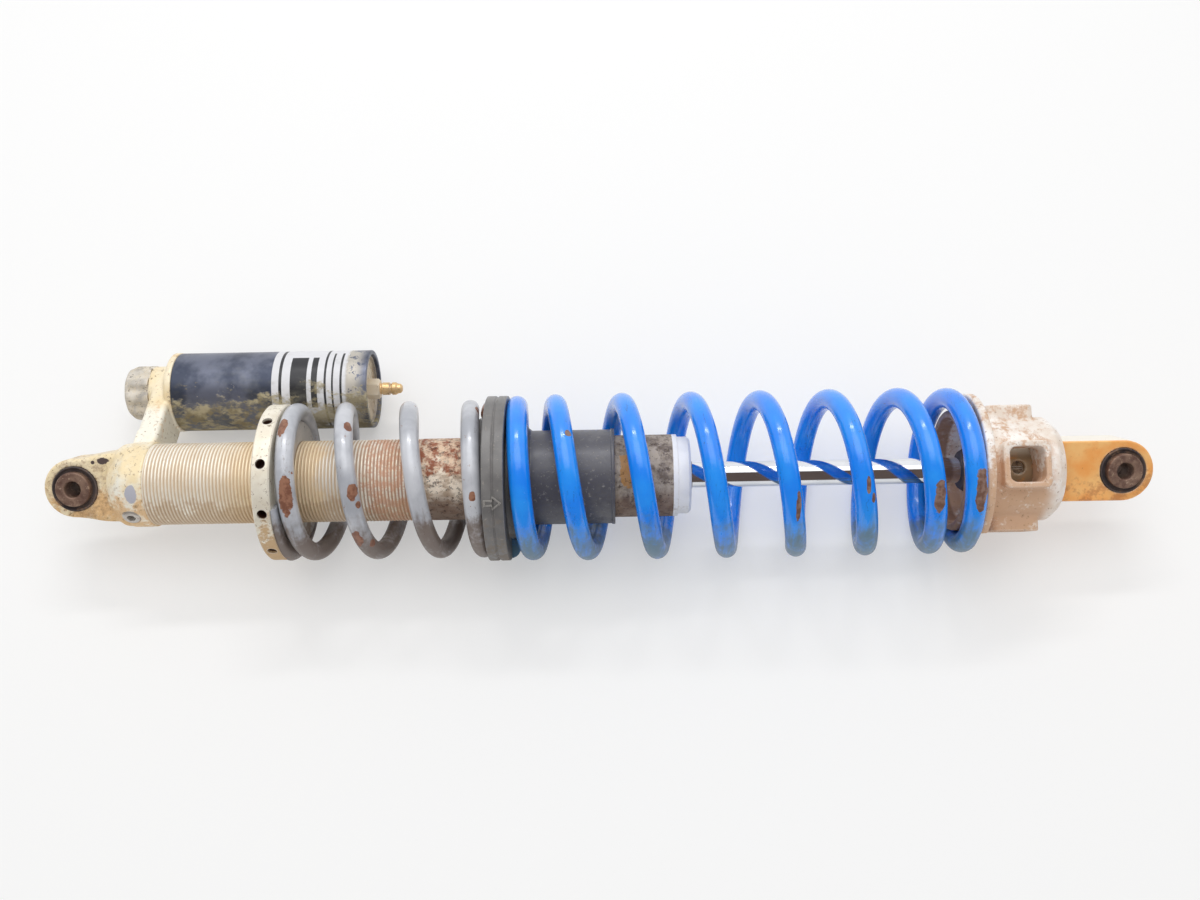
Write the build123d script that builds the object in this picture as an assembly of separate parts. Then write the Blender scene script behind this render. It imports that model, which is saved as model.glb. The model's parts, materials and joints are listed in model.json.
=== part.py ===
from build123d import *
from math import ceil, cos, pi, radians, sin
import os

os.makedirs("parts", exist_ok=True)

# Rear shock absorber with a piggyback reservoir, a tender spring and a main spring.
# Millimetres. The origin is the centre of the upper eye's bore, +X runs along the damper to
# the lower eye, and +Z is up with the shock lying on its springs and its reservoir.

# Fits, all radial or face to face
press_gap = 0.02
slide_gap = 0.06
turn_gap = 0.05
clear_gap = 0.3

# Eyes, their rubber bushings and their steel sleeves
eye_to_eye = 643.5
eye_lean = 29.0
bolt_bore = 10.2
sleeve_diameter = 21.4
sleeve_length = 33.0
sleeve_chamfer = 0.8
bushing_diameter = 28.0
bushing_lip = 1.0
plate_thickness = 25.0
plate_edge = 1.5
upper_eye_radius = 18.2
upper_eye_reach = 1.4
lower_plate_width = 37.8
lower_edge = 0.8

# Head casting at the upper eye
head_radius = 26.5
head_taper_start = 21.5
head_full_at = 33.5
head_end = 46.5
spigot_length = 14.0
gallery_radius = 4.0
plug_radius = 5.5
plug_depth = 6.0
plug_socket = 5.0
plug_chamfer = 0.8

# Damper body
body_radius = 25.5
body_wall = 2.5
body_length = 321.5

# Reservoir beside the body, on the head's arm
reservoir_distance = 79.0
reservoir_angle = -19.0
reservoir_radius = 26.0
reservoir_wall = 3.0
reservoir_start = 45.0
reservoir_length = 127.5
reservoir_flange = 4.0
reservoir_flange_radius = 26.4
reservoir_chamfer = 0.8
arm_setback = 1.4
arm_thickness = 14.0
arm_width = 30.0
arm_fillet = 3.0
neck_radius = 17.6
neck_length = 14.0
cartridge_radius = 11.0
end_cap_depth = 4.0
end_cap_thickness = 9.0
ring_wire = 1.6
ring_gap = 6.4
floating_piston_at = 50.0
floating_piston_length = 20.0
band_thickness = 1.2
band_width = 6.0

# Compression adjuster knob
knob_radius = 18.0
knob_length = 16.0
knob_flutes = 12
knob_chamfer = 0.8
knob_spindle = 4.0
flute_radius = 4.0
flute_depth = 2.0
knob_screw_radius = 3.2

# Gas valve in the end cap
valve_hex = 12.0
valve_hex_length = 8.4
valve_stem_radius = 4.2
valve_stem_length = 15.0
valve_thread_length = 7.0
valve_bore = 2.6
core_pin_radius = 0.9
core_setback = 2.6
core_pin_length = 1.8

# Threaded preload collar and the disc that centres the tender spring
collar_start = 119.8
collar_width = 10.7
collar_holes = 10
collar_hole_turn = 7.1
collar_hole_radius = 3.0
collar_hole_depth = 9.0
collar_chamfer = 0.8
locator_length = 7.5
locator_chamfer = 0.8

# Springs, both wound right-handed
spring_inside = 76.2
spring_locating_gap = 0.4
collar_setback = 0.7
crossover_margin = 0.4
seat_flange_setback = 3.4
cup_gap = 0.7
main_wire = 12.8
main_turns = 8.28
main_first_angle = 207.0
main_closed_turns = 0.48
main_closing_turns = 1.4
main_ground_share = 0.57
main_swell = 1.1
tender_wire = 11.1
tender_turns = 4.77
tender_first_angle = 130.0
tender_closed_turns = 0.83
tender_closing_turns = 0.37
tender_ground_share = 0.75
tender_swell = 0.0
spring_points = 12

# Crossover ring between the springs
crossover_at = 254.5
crossover_width = 12.8
crossover_edge = 1.5
crossover_lead = 6.0
crossover_shoulder = 12.0
crossover_sleeve_radius = 29.3
crossover_sleeve_length = 65.2
crossover_groove = 1.0

# Seal head and shaft
shaft_diameter = 15.875
seal_head_face = 11.0
seal_head_inside = 20.0
seal_head_radius = 24.0
seal_lip_width = 3.0
seal_head_chamfer = 1.5
seal_radius = 12.0
seal_width = 5.0
wiper_width = 4.0
wiper_lip = 1.5
shaft_thread_radius = 6.0
rod_radius = 2.4
rod_bore = 2.8

# Piston and its valving, from the seal head inwards
bumper_length = 9.0
bumper_radius = 13.0
stack_washer = 3.0
shim_thickness = 0.5
shim_count = 5
shim_radius = 18.0
shim_step = 2.0
piston_length = 14.0
piston_ports = 6
piston_port_radius = 2.6
piston_port_circle = 14.0
nut_flats = 19.0
nut_length = 8.0

# Lower spring seat, cast with four windows
seat_roll = 15.6
seat_height = 41.0
seat_flange = 5.5
seat_flat = 40.0
cup_wall = 4.4
cup_edge = 1.5
cup_height = 10.0
cup_depth = 18.0
seat_setback = 5.2
seat_wall = 6.0
seat_web = 6.0
seat_ledge = 4.0
seat_full_to = 7.0
seat_skirt = 13.0
seat_end_radius = 27.0
window_size = 21.0
window_corner = 4.0
window_frame = 3.6
window_rise = 6.6
window_at = 14.3

# Neck of the lower eye
plate_start_reach = 53.0
neck_rise = 35.0
lower_neck_radius = 15.5
shaft_socket = 12.0
bump_washer = 2.5
bump_length = 6.0
bump_taper = 2.0
bump_radius = 13.5
rebound_screw_radius = 4.0
rebound_screw_depth = 12.0
rebound_screw_lag = 2.5
screw_slot = 1.2

# Places that follow from the sizes above
body_end = head_end + body_length
body_bore = body_radius - body_wall
shaft_radius = shaft_diameter / 2
reservoir_bore = reservoir_radius - reservoir_wall
reservoir_end = reservoir_start + reservoir_length
neck_start = reservoir_start - reservoir_flange - neck_length
collar_face = collar_start + collar_width
shoulder_radius = spring_inside / 2 - spring_locating_gap
collar_radius = spring_inside / 2 + tender_wire - collar_setback
crossover_radius = spring_inside / 2 + main_wire + crossover_margin
cup_radius = spring_inside / 2 - cup_gap
seat_radius = cup_radius - seat_setback
window_reach = seat_radius + window_rise
seat_flange_radius = spring_inside / 2 + main_wire - seat_flange_setback
crossover_face = crossover_at + crossover_width
plate_start = eye_to_eye - plate_start_reach
seat_face = plate_start - seat_height
neck_end = plate_start - neck_rise
seal_face = body_end + seal_head_face
seal_inner = body_end - seal_head_inside
piston_shoulder = seal_inner - clear_gap - bumper_length - stack_washer
shim_stack = shim_count * shim_thickness
piston_top = piston_shoulder - stack_washer - shim_stack
piston_bottom = piston_top - piston_length
nut_top = piston_bottom - shim_stack - stack_washer
rod_reach = neck_end + shaft_socket
window_x = plate_start - window_at
screw_x = window_x + rebound_screw_lag
arm_centre = reservoir_start - arm_setback - arm_thickness / 2


def disc(radius, start, end):
    """Cylinder about the X axis between two stations."""
    return extrude(Plane.YZ.offset(start) * Circle(radius), amount=end - start)


def ring(outer, inner, start, end):
    """Tube about the X axis between two stations."""
    section = Plane.YZ.offset(start) * (Circle(outer) - Circle(inner))
    return extrude(section, amount=end - start)


def turned(*points):
    """Solid of revolution about the X axis from (station, radius) corners."""
    return revolve(make_face(Polyline(*points, close=True)), Axis.X)


def hexagon(flats, start, end):
    """Hexagonal bar about the X axis, by its width across flats."""
    section = Plane.YZ.offset(start) * RegularPolygon(flats / 2, 6, major_radius=False)
    return extrude(section, amount=end - start)


def around(shape, count):
    """Copies of a shape spaced evenly about the X axis."""
    return [Rot(360 / count * i, 0, 0) * shape for i in range(count)]


def at_reservoir(shape):
    """Moves a shape from the damper's axis to the reservoir's."""
    return Rot(reservoir_angle, 0, 0) * Pos(0, reservoir_distance, 0) * shape


def at_eye(shape, station):
    """Turns a shape built along Z to an eye's leaning bore."""
    return Pos(station, 0, 0) * Rot(eye_lean, 0, 0) * shape


def eye_sleeve():
    """Steel sleeve that the mounting bolt passes through."""
    tube = Cylinder(sleeve_diameter / 2, sleeve_length) - Cylinder(bolt_bore / 2, sleeve_length)
    return chamfer(tube.edges().filter_by(GeomType.CIRCLE), sleeve_chamfer)


def eye_bushings():
    """Two rubber halves that meet in the middle of the eye and stand a little proud of it."""
    half = plate_thickness / 2 + bushing_lip
    outer = Cylinder(bushing_diameter / 2 - press_gap, half, align=(Align.CENTER, Align.CENTER, Align.MIN))
    inner = Cylinder(sleeve_diameter / 2 + turn_gap, half, align=(Align.CENTER, Align.CENTER, Align.MIN))
    top = outer - inner
    rim = top.edges().group_by(Axis.Z)[-1].sort_by(SortBy.RADIUS)[-1]
    top = chamfer(rim, bushing_lip / 2)
    return [top, mirror(top, about=Plane.XY)]


def rise(turn, turns, closed, closing, travel, wire):
    """Height of a closed-end spring's wire after some turns from its first end."""
    ends = 2 * wire * closed + wire * closing
    step = (travel - ends) / (turns - 2 * closed - closing) - wire
    opening = min(max(turn - closed, 0), closing)
    open_turns = min(max(turn - closed - closing, 0), turns - 2 * (closed + closing))
    shutting = min(max(turn - turns + closed + closing, 0), closing)
    eased = opening**2 / (2 * closing) + open_turns + shutting - shutting**2 / (2 * closing)
    return wire * turn + step * eased


def spring(start, end, wire, turns, first_angle, closed, closing, ground, swell):
    """Round wire wound to closed ends, each ground flat, with its middle coils a little wider."""
    first = start - wire * ground + wire / 2
    travel = end - start + wire * (2 * ground - 1)
    blend = closed + closing
    count = ceil(turns * spring_points)
    points = []
    for i in range(count + 1):
        turn = turns * i / count
        angle = 2 * pi * turn + radians(first_angle)
        radius = (spring_inside + wire) / 2 + swell * min(turn, turns - turn, blend) / blend
        station = first + rise(turn, turns, closed, closing, travel, wire)
        points.append((station, radius * cos(angle), radius * sin(angle)))
    path = Spline(*points)
    coil = sweep(Plane(path @ 0, z_dir=path % 0) * Circle(wire / 2), path=path, is_frenet=True)
    return coil & disc(spring_inside + wire, start, end)


def head():
    """Casting with the upper eye, the body's socket, the arm and the reservoir's neck."""
    web = head_full_at + upper_eye_reach
    eye = Pos(-upper_eye_reach, 0, 0) * Cylinder(upper_eye_radius, plate_thickness)
    eye += Pos(web / 2 - upper_eye_reach, 0, 0) * Box(web, 2 * upper_eye_radius, plate_thickness)
    eye = at_eye(eye, 0)
    eye = chamfer(eye.edges().filter_by(GeomType.CIRCLE), plate_edge)
    barrel = turned(
        (head_taper_start, 0),
        (head_taper_start, upper_eye_radius),
        (head_full_at, head_radius),
        (head_end, head_radius),
        (head_end, body_bore - press_gap),
        (head_end + spigot_length, body_bore - press_gap),
        (head_end + spigot_length, 0),
    )
    arm = Pos(arm_centre, reservoir_distance / 2, 0) * Box(arm_thickness, reservoir_distance, arm_width)
    arm = fillet(arm.edges().filter_by(Axis.Y), arm_fillet)
    flange_start = reservoir_start - reservoir_flange
    cap = disc(neck_radius, neck_start, flange_start)
    cap += turned(
        (flange_start - reservoir_flange, 0),
        (flange_start - reservoir_flange, neck_radius),
        (flange_start, reservoir_flange_radius),
        (reservoir_start, reservoir_flange_radius),
        (reservoir_start, reservoir_bore - press_gap),
        (reservoir_start + spigot_length, reservoir_bore - press_gap),
        (reservoir_start + spigot_length, 0),
    )
    solid = eye + barrel + Rot(reservoir_angle, 0, 0) * arm + at_reservoir(cap)
    solid -= at_eye(Cylinder(bushing_diameter / 2, 2 * plate_thickness), 0)
    solid -= disc(gallery_radius, arm_centre, head_end + spigot_length)
    drill = Pos(arm_centre, 0, 0) * Rot(90, 0, 0) * Cylinder(
        gallery_radius, reservoir_distance + head_radius, align=(Align.CENTER, Align.CENTER, Align.MIN)
    )
    drill = Pos(0, reservoir_distance, 0) * drill
    solid -= Rot(reservoir_angle, 0, 0) * drill
    seat = Pos(arm_centre, -head_radius, 0) * Rot(90, 0, 0) * Cylinder(plug_radius, 2 * plug_depth)
    solid -= Rot(reservoir_angle, 0, 0) * seat
    solid -= at_reservoir(disc(cartridge_radius, neck_start, reservoir_start + spigot_length))
    return solid


def gallery_plug():
    """Socket screw that closes the outer end of the drilled oil gallery."""
    plug = Cylinder(plug_radius - press_gap, plug_depth, align=(Align.CENTER, Align.CENTER, Align.MIN))
    hexagonal = RegularPolygon(plug_socket / 2, 6, major_radius=False)
    plug -= Pos(0, 0, plug_depth / 2) * extrude(hexagonal, amount=plug_depth)
    plug = chamfer(plug.edges().filter_by(GeomType.CIRCLE).sort_by(Axis.Z)[-1], plug_chamfer)
    placed = Pos(arm_centre, plug_depth - head_radius, 0) * Rot(90, 0, 0) * plug
    return Rot(reservoir_angle, 0, 0) * placed


def reservoir_tube():
    """Gas and oil reservoir, open at both ends, grooved for the end cap's ring."""
    tube = ring(reservoir_radius, reservoir_bore, reservoir_start, reservoir_end)
    groove = reservoir_end - end_cap_depth + ring_wire / 2
    tube -= disc(reservoir_bore + ring_wire / 2, groove - ring_wire / 2, groove + ring_wire / 2)
    return chamfer(tube.edges().filter_by(GeomType.CIRCLE).sort_by(Axis.X)[-1], reservoir_chamfer)


def end_cap():
    """Recessed end of the reservoir, bored for the gas valve."""
    face = reservoir_end - end_cap_depth
    cap = disc(reservoir_bore - press_gap, face - end_cap_thickness, face)
    return cap - disc(valve_stem_radius, face - valve_thread_length, face)


def end_ring():
    """Open wire ring that keeps the end cap in the reservoir."""
    face = reservoir_end - end_cap_depth
    outer = reservoir_bore + ring_wire / 2 - press_gap
    wire = ring(outer, outer - ring_wire, face + press_gap, face + ring_wire - press_gap)
    return wire - Pos(face, -outer, 0) * Box(ring_gap, ring_gap, ring_gap)


def gas_valve():
    """Hexagonal gas valve with a hollow stem."""
    face = reservoir_end - end_cap_depth
    stem_end = face + valve_hex_length + valve_stem_length
    valve = hexagon(valve_hex, face, face + valve_hex_length)
    valve += disc(valve_stem_radius, face, stem_end)
    valve += disc(valve_stem_radius - press_gap, face - valve_thread_length, face)
    return valve - disc(valve_bore, face - valve_thread_length, stem_end)


def valve_core():
    """Spring-loaded core that sits in the valve's bore."""
    face = reservoir_end - end_cap_depth
    end = face + valve_hex_length + valve_stem_length
    core = disc(valve_bore - press_gap, face, end - core_setback)
    return core + disc(core_pin_radius, end - core_setback, end - core_setback + core_pin_length)


def floating_piston():
    """Dished piston between oil and gas, grooved for its guide band."""
    start = reservoir_start + floating_piston_at
    end = start + floating_piston_length
    piston = disc(reservoir_bore - 2 * slide_gap, start, end)
    piston -= disc(reservoir_bore - 2 * reservoir_wall, start + floating_piston_length / 2, end)
    middle = start + floating_piston_length / 2
    groove = reservoir_bore - band_thickness - slide_gap
    return piston - ring(reservoir_radius, groove, middle - band_width / 2, middle + band_width / 2)


def guide_band(bore, middle):
    """Thin bearing band that runs in a bore."""
    outer = bore - slide_gap
    inner = bore - band_thickness - slide_gap + press_gap
    return ring(outer, inner, middle - band_width / 2 + press_gap, middle + band_width / 2 - press_gap)


def adjuster_cartridge():
    """Compression valve housing in the neck, with the spindle's bore through it."""
    cartridge = disc(cartridge_radius - press_gap, neck_start, reservoir_start + spigot_length)
    return cartridge - disc(knob_spindle, neck_start, reservoir_start + spigot_length)


def adjuster_knob():
    """Fluted knob with its spindle in the cartridge."""
    start = neck_start - clear_gap - knob_length
    knob = disc(knob_radius, start, neck_start - clear_gap)
    knob = chamfer(knob.edges().filter_by(GeomType.CIRCLE), knob_chamfer)
    flute_centre = knob_radius - flute_depth + flute_radius
    flute = Pos(0, flute_centre, 0) * disc(flute_radius, start, neck_start)
    knob -= around(flute, knob_flutes)
    knob += disc(knob_spindle - turn_gap, neck_start - clear_gap, reservoir_start)
    return knob - disc(knob_screw_radius, start, start + knob_length / 2)


def knob_screw():
    """Screw in the knob's face."""
    start = neck_start - clear_gap - knob_length
    screw = disc(knob_screw_radius - press_gap, start + clear_gap, start + knob_length / 2)
    slot = Box(screw_slot, 2 * knob_radius, screw_slot)
    return screw - Pos(start + clear_gap, 0, 0) * slot


def preload_collar():
    """Threaded ring with radial spanner holes."""
    collar = disc(collar_radius, collar_start, collar_face)
    collar = chamfer(collar.edges().filter_by(GeomType.CIRCLE), collar_chamfer)
    collar -= disc(body_radius + turn_gap, collar_start, collar_face)
    hole = Pos(collar_start + collar_width / 2, 0, collar_radius) * Cylinder(
        collar_hole_radius, 2 * collar_hole_depth
    )
    return collar - around(Rot(collar_hole_turn, 0, 0) * hole, collar_holes)


def spring_locator():
    """Plain disc on the collar's face that centres the tender spring."""
    end = collar_face + locator_length
    locator = disc(shoulder_radius, collar_face, end)
    locator = chamfer(locator.edges().filter_by(GeomType.CIRCLE).sort_by(Axis.X)[-1], locator_chamfer)
    return locator - disc(body_radius + slide_gap, collar_face, end)


def crossover_ring():
    """Plastic ring between the springs, with a shoulder for each and a long guide sleeve."""
    sleeve_end = crossover_face + crossover_sleeve_length
    middle = (crossover_at + crossover_face) / 2
    flank = crossover_face + crossover_shoulder
    blend = shoulder_radius - crossover_sleeve_radius
    outline = [
        (crossover_at - crossover_lead, shoulder_radius - crossover_edge),
        (crossover_at - crossover_lead + crossover_edge, shoulder_radius),
        (crossover_at, shoulder_radius),
        (crossover_at, crossover_radius),
        (middle - crossover_groove, crossover_radius),
        (middle, crossover_radius - crossover_groove),
        (middle + crossover_groove, crossover_radius),
        (crossover_face, crossover_radius),
        (crossover_face, shoulder_radius),
        (flank - blend, shoulder_radius),
    ]
    side = Polyline(*outline)
    corner = RadiusArc(outline[-1], (flank, crossover_sleeve_radius), -blend)
    inner = body_radius + slide_gap
    closing = Polyline(
        (flank, crossover_sleeve_radius),
        (sleeve_end, crossover_sleeve_radius),
        (sleeve_end, inner),
        (crossover_at - crossover_lead, inner),
        outline[0],
    )
    return revolve(make_face(side + corner + closing), Axis.X)


def body_tube():
    """Damper body between the head and the seal head."""
    return ring(body_radius, body_bore, head_end, body_end)


def seal_head():
    """Closes the body and guides the shaft, with recesses for the seal and the wiper."""
    spigot = body_bore - press_gap
    solid = turned(
        (seal_inner, 0),
        (seal_inner, spigot),
        (body_end, spigot),
        (body_end, body_radius),
        (body_end + seal_lip_width, body_radius),
        (body_end + seal_lip_width, seal_head_radius),
        (seal_face - seal_head_chamfer, seal_head_radius),
        (seal_face, seal_head_radius - seal_head_chamfer),
        (seal_face, 0),
    )
    solid -= disc(shaft_radius + turn_gap, seal_inner, seal_face)
    solid -= disc(seal_radius, seal_inner, seal_inner + seal_width)
    return solid - disc(seal_radius, seal_face - wiper_width, seal_face)


def shaft_seal():
    """Oil seal at the inner end of the seal head."""
    return ring(seal_radius - press_gap, shaft_radius + slide_gap, seal_inner, seal_inner + seal_width)


def wiper():
    """Dust lip where the shaft leaves the body."""
    start = seal_face - wiper_width
    inner = shaft_radius + slide_gap
    return ring(seal_radius - press_gap, inner, start, seal_face) + turned(
        (seal_face, inner),
        (seal_face, seal_radius - wiper_lip),
        (seal_face + wiper_lip, inner + wiper_lip / 2),
        (seal_face + wiper_lip, inner),
    )


def shaft():
    """Chromed shaft, stepped down for the piston, with the rebound rod's bore."""
    solid = disc(shaft_radius, piston_shoulder, rod_reach)
    solid += disc(shaft_thread_radius, nut_top - nut_length - press_gap, piston_shoulder)
    return solid - disc(rod_bore, nut_top - 2 * nut_length, rod_reach)


def rebound_rod():
    """Rod that carries the rebound adjuster's setting up the shaft."""
    end = screw_x - rebound_screw_radius - press_gap
    return disc(rod_radius, piston_bottom, end)


def on_spigot(radius, start, end):
    """Washer on the shaft's stepped end."""
    return ring(radius, shaft_thread_radius + press_gap, start, end)


def piston():
    """Main piston with through ports and a groove for its band."""
    middle = (piston_top + piston_bottom) / 2
    solid = on_spigot(body_bore - 2 * slide_gap, piston_bottom, piston_top)
    port = Pos(0, piston_port_circle, 0) * disc(piston_port_radius, piston_bottom, piston_top)
    solid -= around(port, piston_ports)
    groove = body_bore - band_thickness - slide_gap
    return solid - ring(body_radius, groove, middle - band_width / 2, middle + band_width / 2)


def shims(first, direction):
    """Stack of thin discs, the widest against the piston."""
    stack = []
    for i in range(shim_count):
        near = first + direction * i * shim_thickness
        far = near + direction * shim_thickness
        stack.append(on_spigot(shim_radius - i * shim_step, min(near, far), max(near, far)))
    return stack


def top_out_bumper():
    """Rubber ring that ends the rebound stroke against the seal head."""
    start = piston_shoulder + press_gap
    return ring(bumper_radius, shaft_radius + press_gap, start, start + bumper_length)


def lower_eye():
    """Forked end with the lower eye, the neck for the shaft and the rebound adjuster's hole."""
    plate = Cylinder(lower_plate_width / 2, plate_thickness)
    web = Box(plate_start_reach, lower_plate_width, plate_thickness)
    plate += Pos(-plate_start_reach / 2, 0, 0) * web
    plate = chamfer(plate.faces().filter_by(Axis.Z).edges(), lower_edge)
    solid = at_eye(plate, eye_to_eye) + disc(lower_neck_radius, neck_end, plate_start)
    solid -= at_eye(Cylinder(bushing_diameter / 2, 2 * plate_thickness), eye_to_eye)
    solid -= disc(shaft_radius + press_gap, neck_end, rod_reach)
    solid -= disc(rod_bore, rod_reach, screw_x)
    hole = Pos(screw_x, 0, lower_neck_radius) * Cylinder(
        rebound_screw_radius + turn_gap, 2 * (lower_neck_radius + rebound_screw_radius)
    )
    return solid - Rot(seat_roll, 0, 0) * hole


def rebound_screw():
    """Slotted screw across the neck that moves the rebound rod."""
    low = -rebound_screw_radius + turn_gap
    height = rebound_screw_depth + rebound_screw_radius
    screw = Cylinder(rebound_screw_radius, height, align=(Align.CENTER, Align.CENTER, Align.MIN))
    screw -= Pos(0, 0, height) * Box(2 * rebound_screw_radius, screw_slot, 2 * screw_slot)
    return Rot(seat_roll, 0, 0) * Pos(screw_x, 0, low) * screw


def lower_seat():
    """Cast seat with a cup inside the main spring, a flange under it and four windows."""
    floor = seat_face - cup_height + cup_depth
    end = plate_start + seat_skirt
    solid = turned(
        (seat_face - cup_height, 0),
        (seat_face - cup_height, cup_radius - cup_edge),
        (seat_face - cup_height + cup_edge, cup_radius),
        (seat_face, cup_radius),
        (seat_face, seat_flange_radius - cup_edge / 2),
        (seat_face + cup_edge / 2, seat_flange_radius),
        (seat_face + seat_flange - cup_edge / 2, seat_flange_radius),
        (seat_face + seat_flange, seat_flange_radius - cup_edge / 2),
        (seat_face + seat_flange, seat_radius + window_frame),
        (seat_face + seat_flange + window_frame, seat_radius),
        (plate_start + seat_full_to, seat_radius),
        (end, seat_end_radius),
        (end, 0),
    )
    flat = Pos(seat_face, -seat_flat - seat_flange_radius, 0) * Box(
        4 * seat_flange, 2 * seat_flange_radius, 2 * seat_flange_radius
    )
    solid -= flat
    frame_size = window_size + 2 * window_frame
    frame = Pos(window_x, 0, 0) * Box(frame_size, frame_size, 2 * window_reach)
    frame = fillet(frame.edges().filter_by(Axis.Z), window_corner)
    window = Pos(window_x, 0, 0) * Box(window_size, window_size, 3 * window_reach)
    window = fillet(window.edges().filter_by(Axis.Z), window_corner)
    solid += [frame, Rot(90, 0, 0) * frame]
    solid -= [window, Rot(90, 0, 0) * window]
    solid -= disc(cup_radius - cup_wall, seat_face - cup_height, floor)
    solid -= disc(seat_radius - seat_wall, floor + seat_web, plate_start - seat_ledge)
    solid -= disc(lower_neck_radius + press_gap, floor, plate_start)
    diagonal = ((lower_plate_width**2 + plate_thickness**2) ** 0.5) / 2
    solid -= disc(diagonal + clear_gap, plate_start, end)
    return Rot(seat_roll, 0, 0) * solid


def bump_stop():
    """Tapered foam stop on the shaft, above the neck."""
    base = neck_end - bump_washer
    inner = shaft_radius + press_gap
    return turned(
        (base, inner),
        (base, bump_radius),
        (base - bump_length / 2, bump_radius),
        (base - bump_length, bump_radius - bump_taper),
        (base - bump_length, inner),
    )


upper_bushings = [at_eye(half, 0) for half in eye_bushings()]
lower_bushings = [at_eye(half, eye_to_eye) for half in eye_bushings()]
nut = hexagon(nut_flats, nut_top - nut_length, nut_top) - disc(
    shaft_thread_radius + press_gap, nut_top - nut_length, nut_top
)
floating_middle = reservoir_start + floating_piston_at + floating_piston_length / 2

pieces = {
    "head_with_upper_eye": head(),
    "gallery_plug": gallery_plug(),
    "upper_bushings": Compound(upper_bushings),
    "upper_sleeve": at_eye(eye_sleeve(), 0),
    "body_tube": body_tube(),
    "reservoir_tube": at_reservoir(reservoir_tube()),
    "reservoir_end_cap": at_reservoir(end_cap()),
    "end_cap_ring": at_reservoir(end_ring()),
    "gas_valve": at_reservoir(gas_valve()),
    "gas_valve_core": at_reservoir(valve_core()),
    "floating_piston": at_reservoir(floating_piston()),
    "floating_piston_band": at_reservoir(guide_band(reservoir_bore, floating_middle)),
    "compression_cartridge": at_reservoir(adjuster_cartridge()),
    "compression_knob": at_reservoir(adjuster_knob()),
    "compression_knob_screw": at_reservoir(knob_screw()),
    "preload_collar": preload_collar(),
    "spring_locator": spring_locator(),
    "tender_spring": spring(
        collar_face,
        crossover_at,
        tender_wire,
        tender_turns,
        tender_first_angle,
        tender_closed_turns,
        tender_closing_turns,
        tender_ground_share,
        tender_swell,
    ),
    "crossover_ring": crossover_ring(),
    "main_spring": spring(
        crossover_face,
        seat_face,
        main_wire,
        main_turns,
        main_first_angle,
        main_closed_turns,
        main_closing_turns,
        main_ground_share,
        main_swell,
    ),
    "seal_head": seal_head(),
    "shaft_seal": shaft_seal(),
    "shaft_wiper": wiper(),
    "shaft": shaft(),
    "rebound_rod": rebound_rod(),
    "piston": piston(),
    "piston_band": guide_band(body_bore, (piston_top + piston_bottom) / 2),
    "compression_shims": Compound(shims(piston_top, 1)),
    "rebound_shims": Compound(shims(piston_bottom, -1)),
    "shim_washers": Compound(
        [
            on_spigot(shaft_radius, piston_shoulder - stack_washer, piston_shoulder),
            on_spigot(shaft_radius, nut_top, nut_top + stack_washer),
        ]
    ),
    "piston_nut": nut,
    "top_out_bumper": top_out_bumper(),
    "lower_spring_seat": lower_seat(),
    "lower_eye": lower_eye(),
    "lower_bushings": Compound(lower_bushings),
    "lower_sleeve": at_eye(eye_sleeve(), eye_to_eye),
    "rebound_screw": rebound_screw(),
    "bump_stop": bump_stop(),
    "bump_stop_washer": ring(bump_radius, shaft_radius + press_gap, neck_end - bump_washer, neck_end),
}

for name, shape in pieces.items():
    export_step(shape, f"parts/{name}.step")
    print(name, round(shape.volume), "mm3")
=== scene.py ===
import json
from math import cos, pi, radians, sin
import bpy
import bmesh
import numpy as np
from mathutils import Matrix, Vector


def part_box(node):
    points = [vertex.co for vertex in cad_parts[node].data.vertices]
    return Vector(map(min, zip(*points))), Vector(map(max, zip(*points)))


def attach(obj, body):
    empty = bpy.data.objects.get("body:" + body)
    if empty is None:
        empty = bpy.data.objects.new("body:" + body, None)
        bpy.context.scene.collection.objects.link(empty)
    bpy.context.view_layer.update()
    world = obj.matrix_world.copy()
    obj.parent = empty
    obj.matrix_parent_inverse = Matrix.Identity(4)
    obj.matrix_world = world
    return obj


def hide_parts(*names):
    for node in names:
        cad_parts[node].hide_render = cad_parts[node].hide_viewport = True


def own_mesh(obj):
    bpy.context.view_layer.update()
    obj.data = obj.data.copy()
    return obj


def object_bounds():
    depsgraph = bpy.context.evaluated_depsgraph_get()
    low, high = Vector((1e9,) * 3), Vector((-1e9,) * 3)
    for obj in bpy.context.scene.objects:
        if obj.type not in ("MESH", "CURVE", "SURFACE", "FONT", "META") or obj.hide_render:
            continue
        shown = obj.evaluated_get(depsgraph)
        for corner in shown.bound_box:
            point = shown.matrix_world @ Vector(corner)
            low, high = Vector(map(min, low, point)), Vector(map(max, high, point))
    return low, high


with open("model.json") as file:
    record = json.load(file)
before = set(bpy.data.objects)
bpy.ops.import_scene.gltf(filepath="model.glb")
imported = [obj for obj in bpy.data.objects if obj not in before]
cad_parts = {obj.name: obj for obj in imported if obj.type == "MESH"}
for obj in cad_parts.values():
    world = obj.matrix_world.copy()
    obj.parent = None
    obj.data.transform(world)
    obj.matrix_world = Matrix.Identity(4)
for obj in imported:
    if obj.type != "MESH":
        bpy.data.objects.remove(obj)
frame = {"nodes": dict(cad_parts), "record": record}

# Rear shock absorber lying on a pale floor, seen from above.
# Metres, in the model's own frame: +X runs along the damper from the upper eye to the lower eye.
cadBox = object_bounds()
nodes = frame["nodes"]


def span(name):
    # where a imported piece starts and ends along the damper
    low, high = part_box(name)
    return low.x, high.x


def placed(name, data):
    # a new object in the scene
    new = bpy.data.objects.new(name, data)
    bpy.context.scene.collection.objects.link(new)
    return new


# Material building blocks, which all add to the node tree that was opened last
opened = {}


def link(value, socket):
    opened["tree"].links.new(value, socket)


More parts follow.
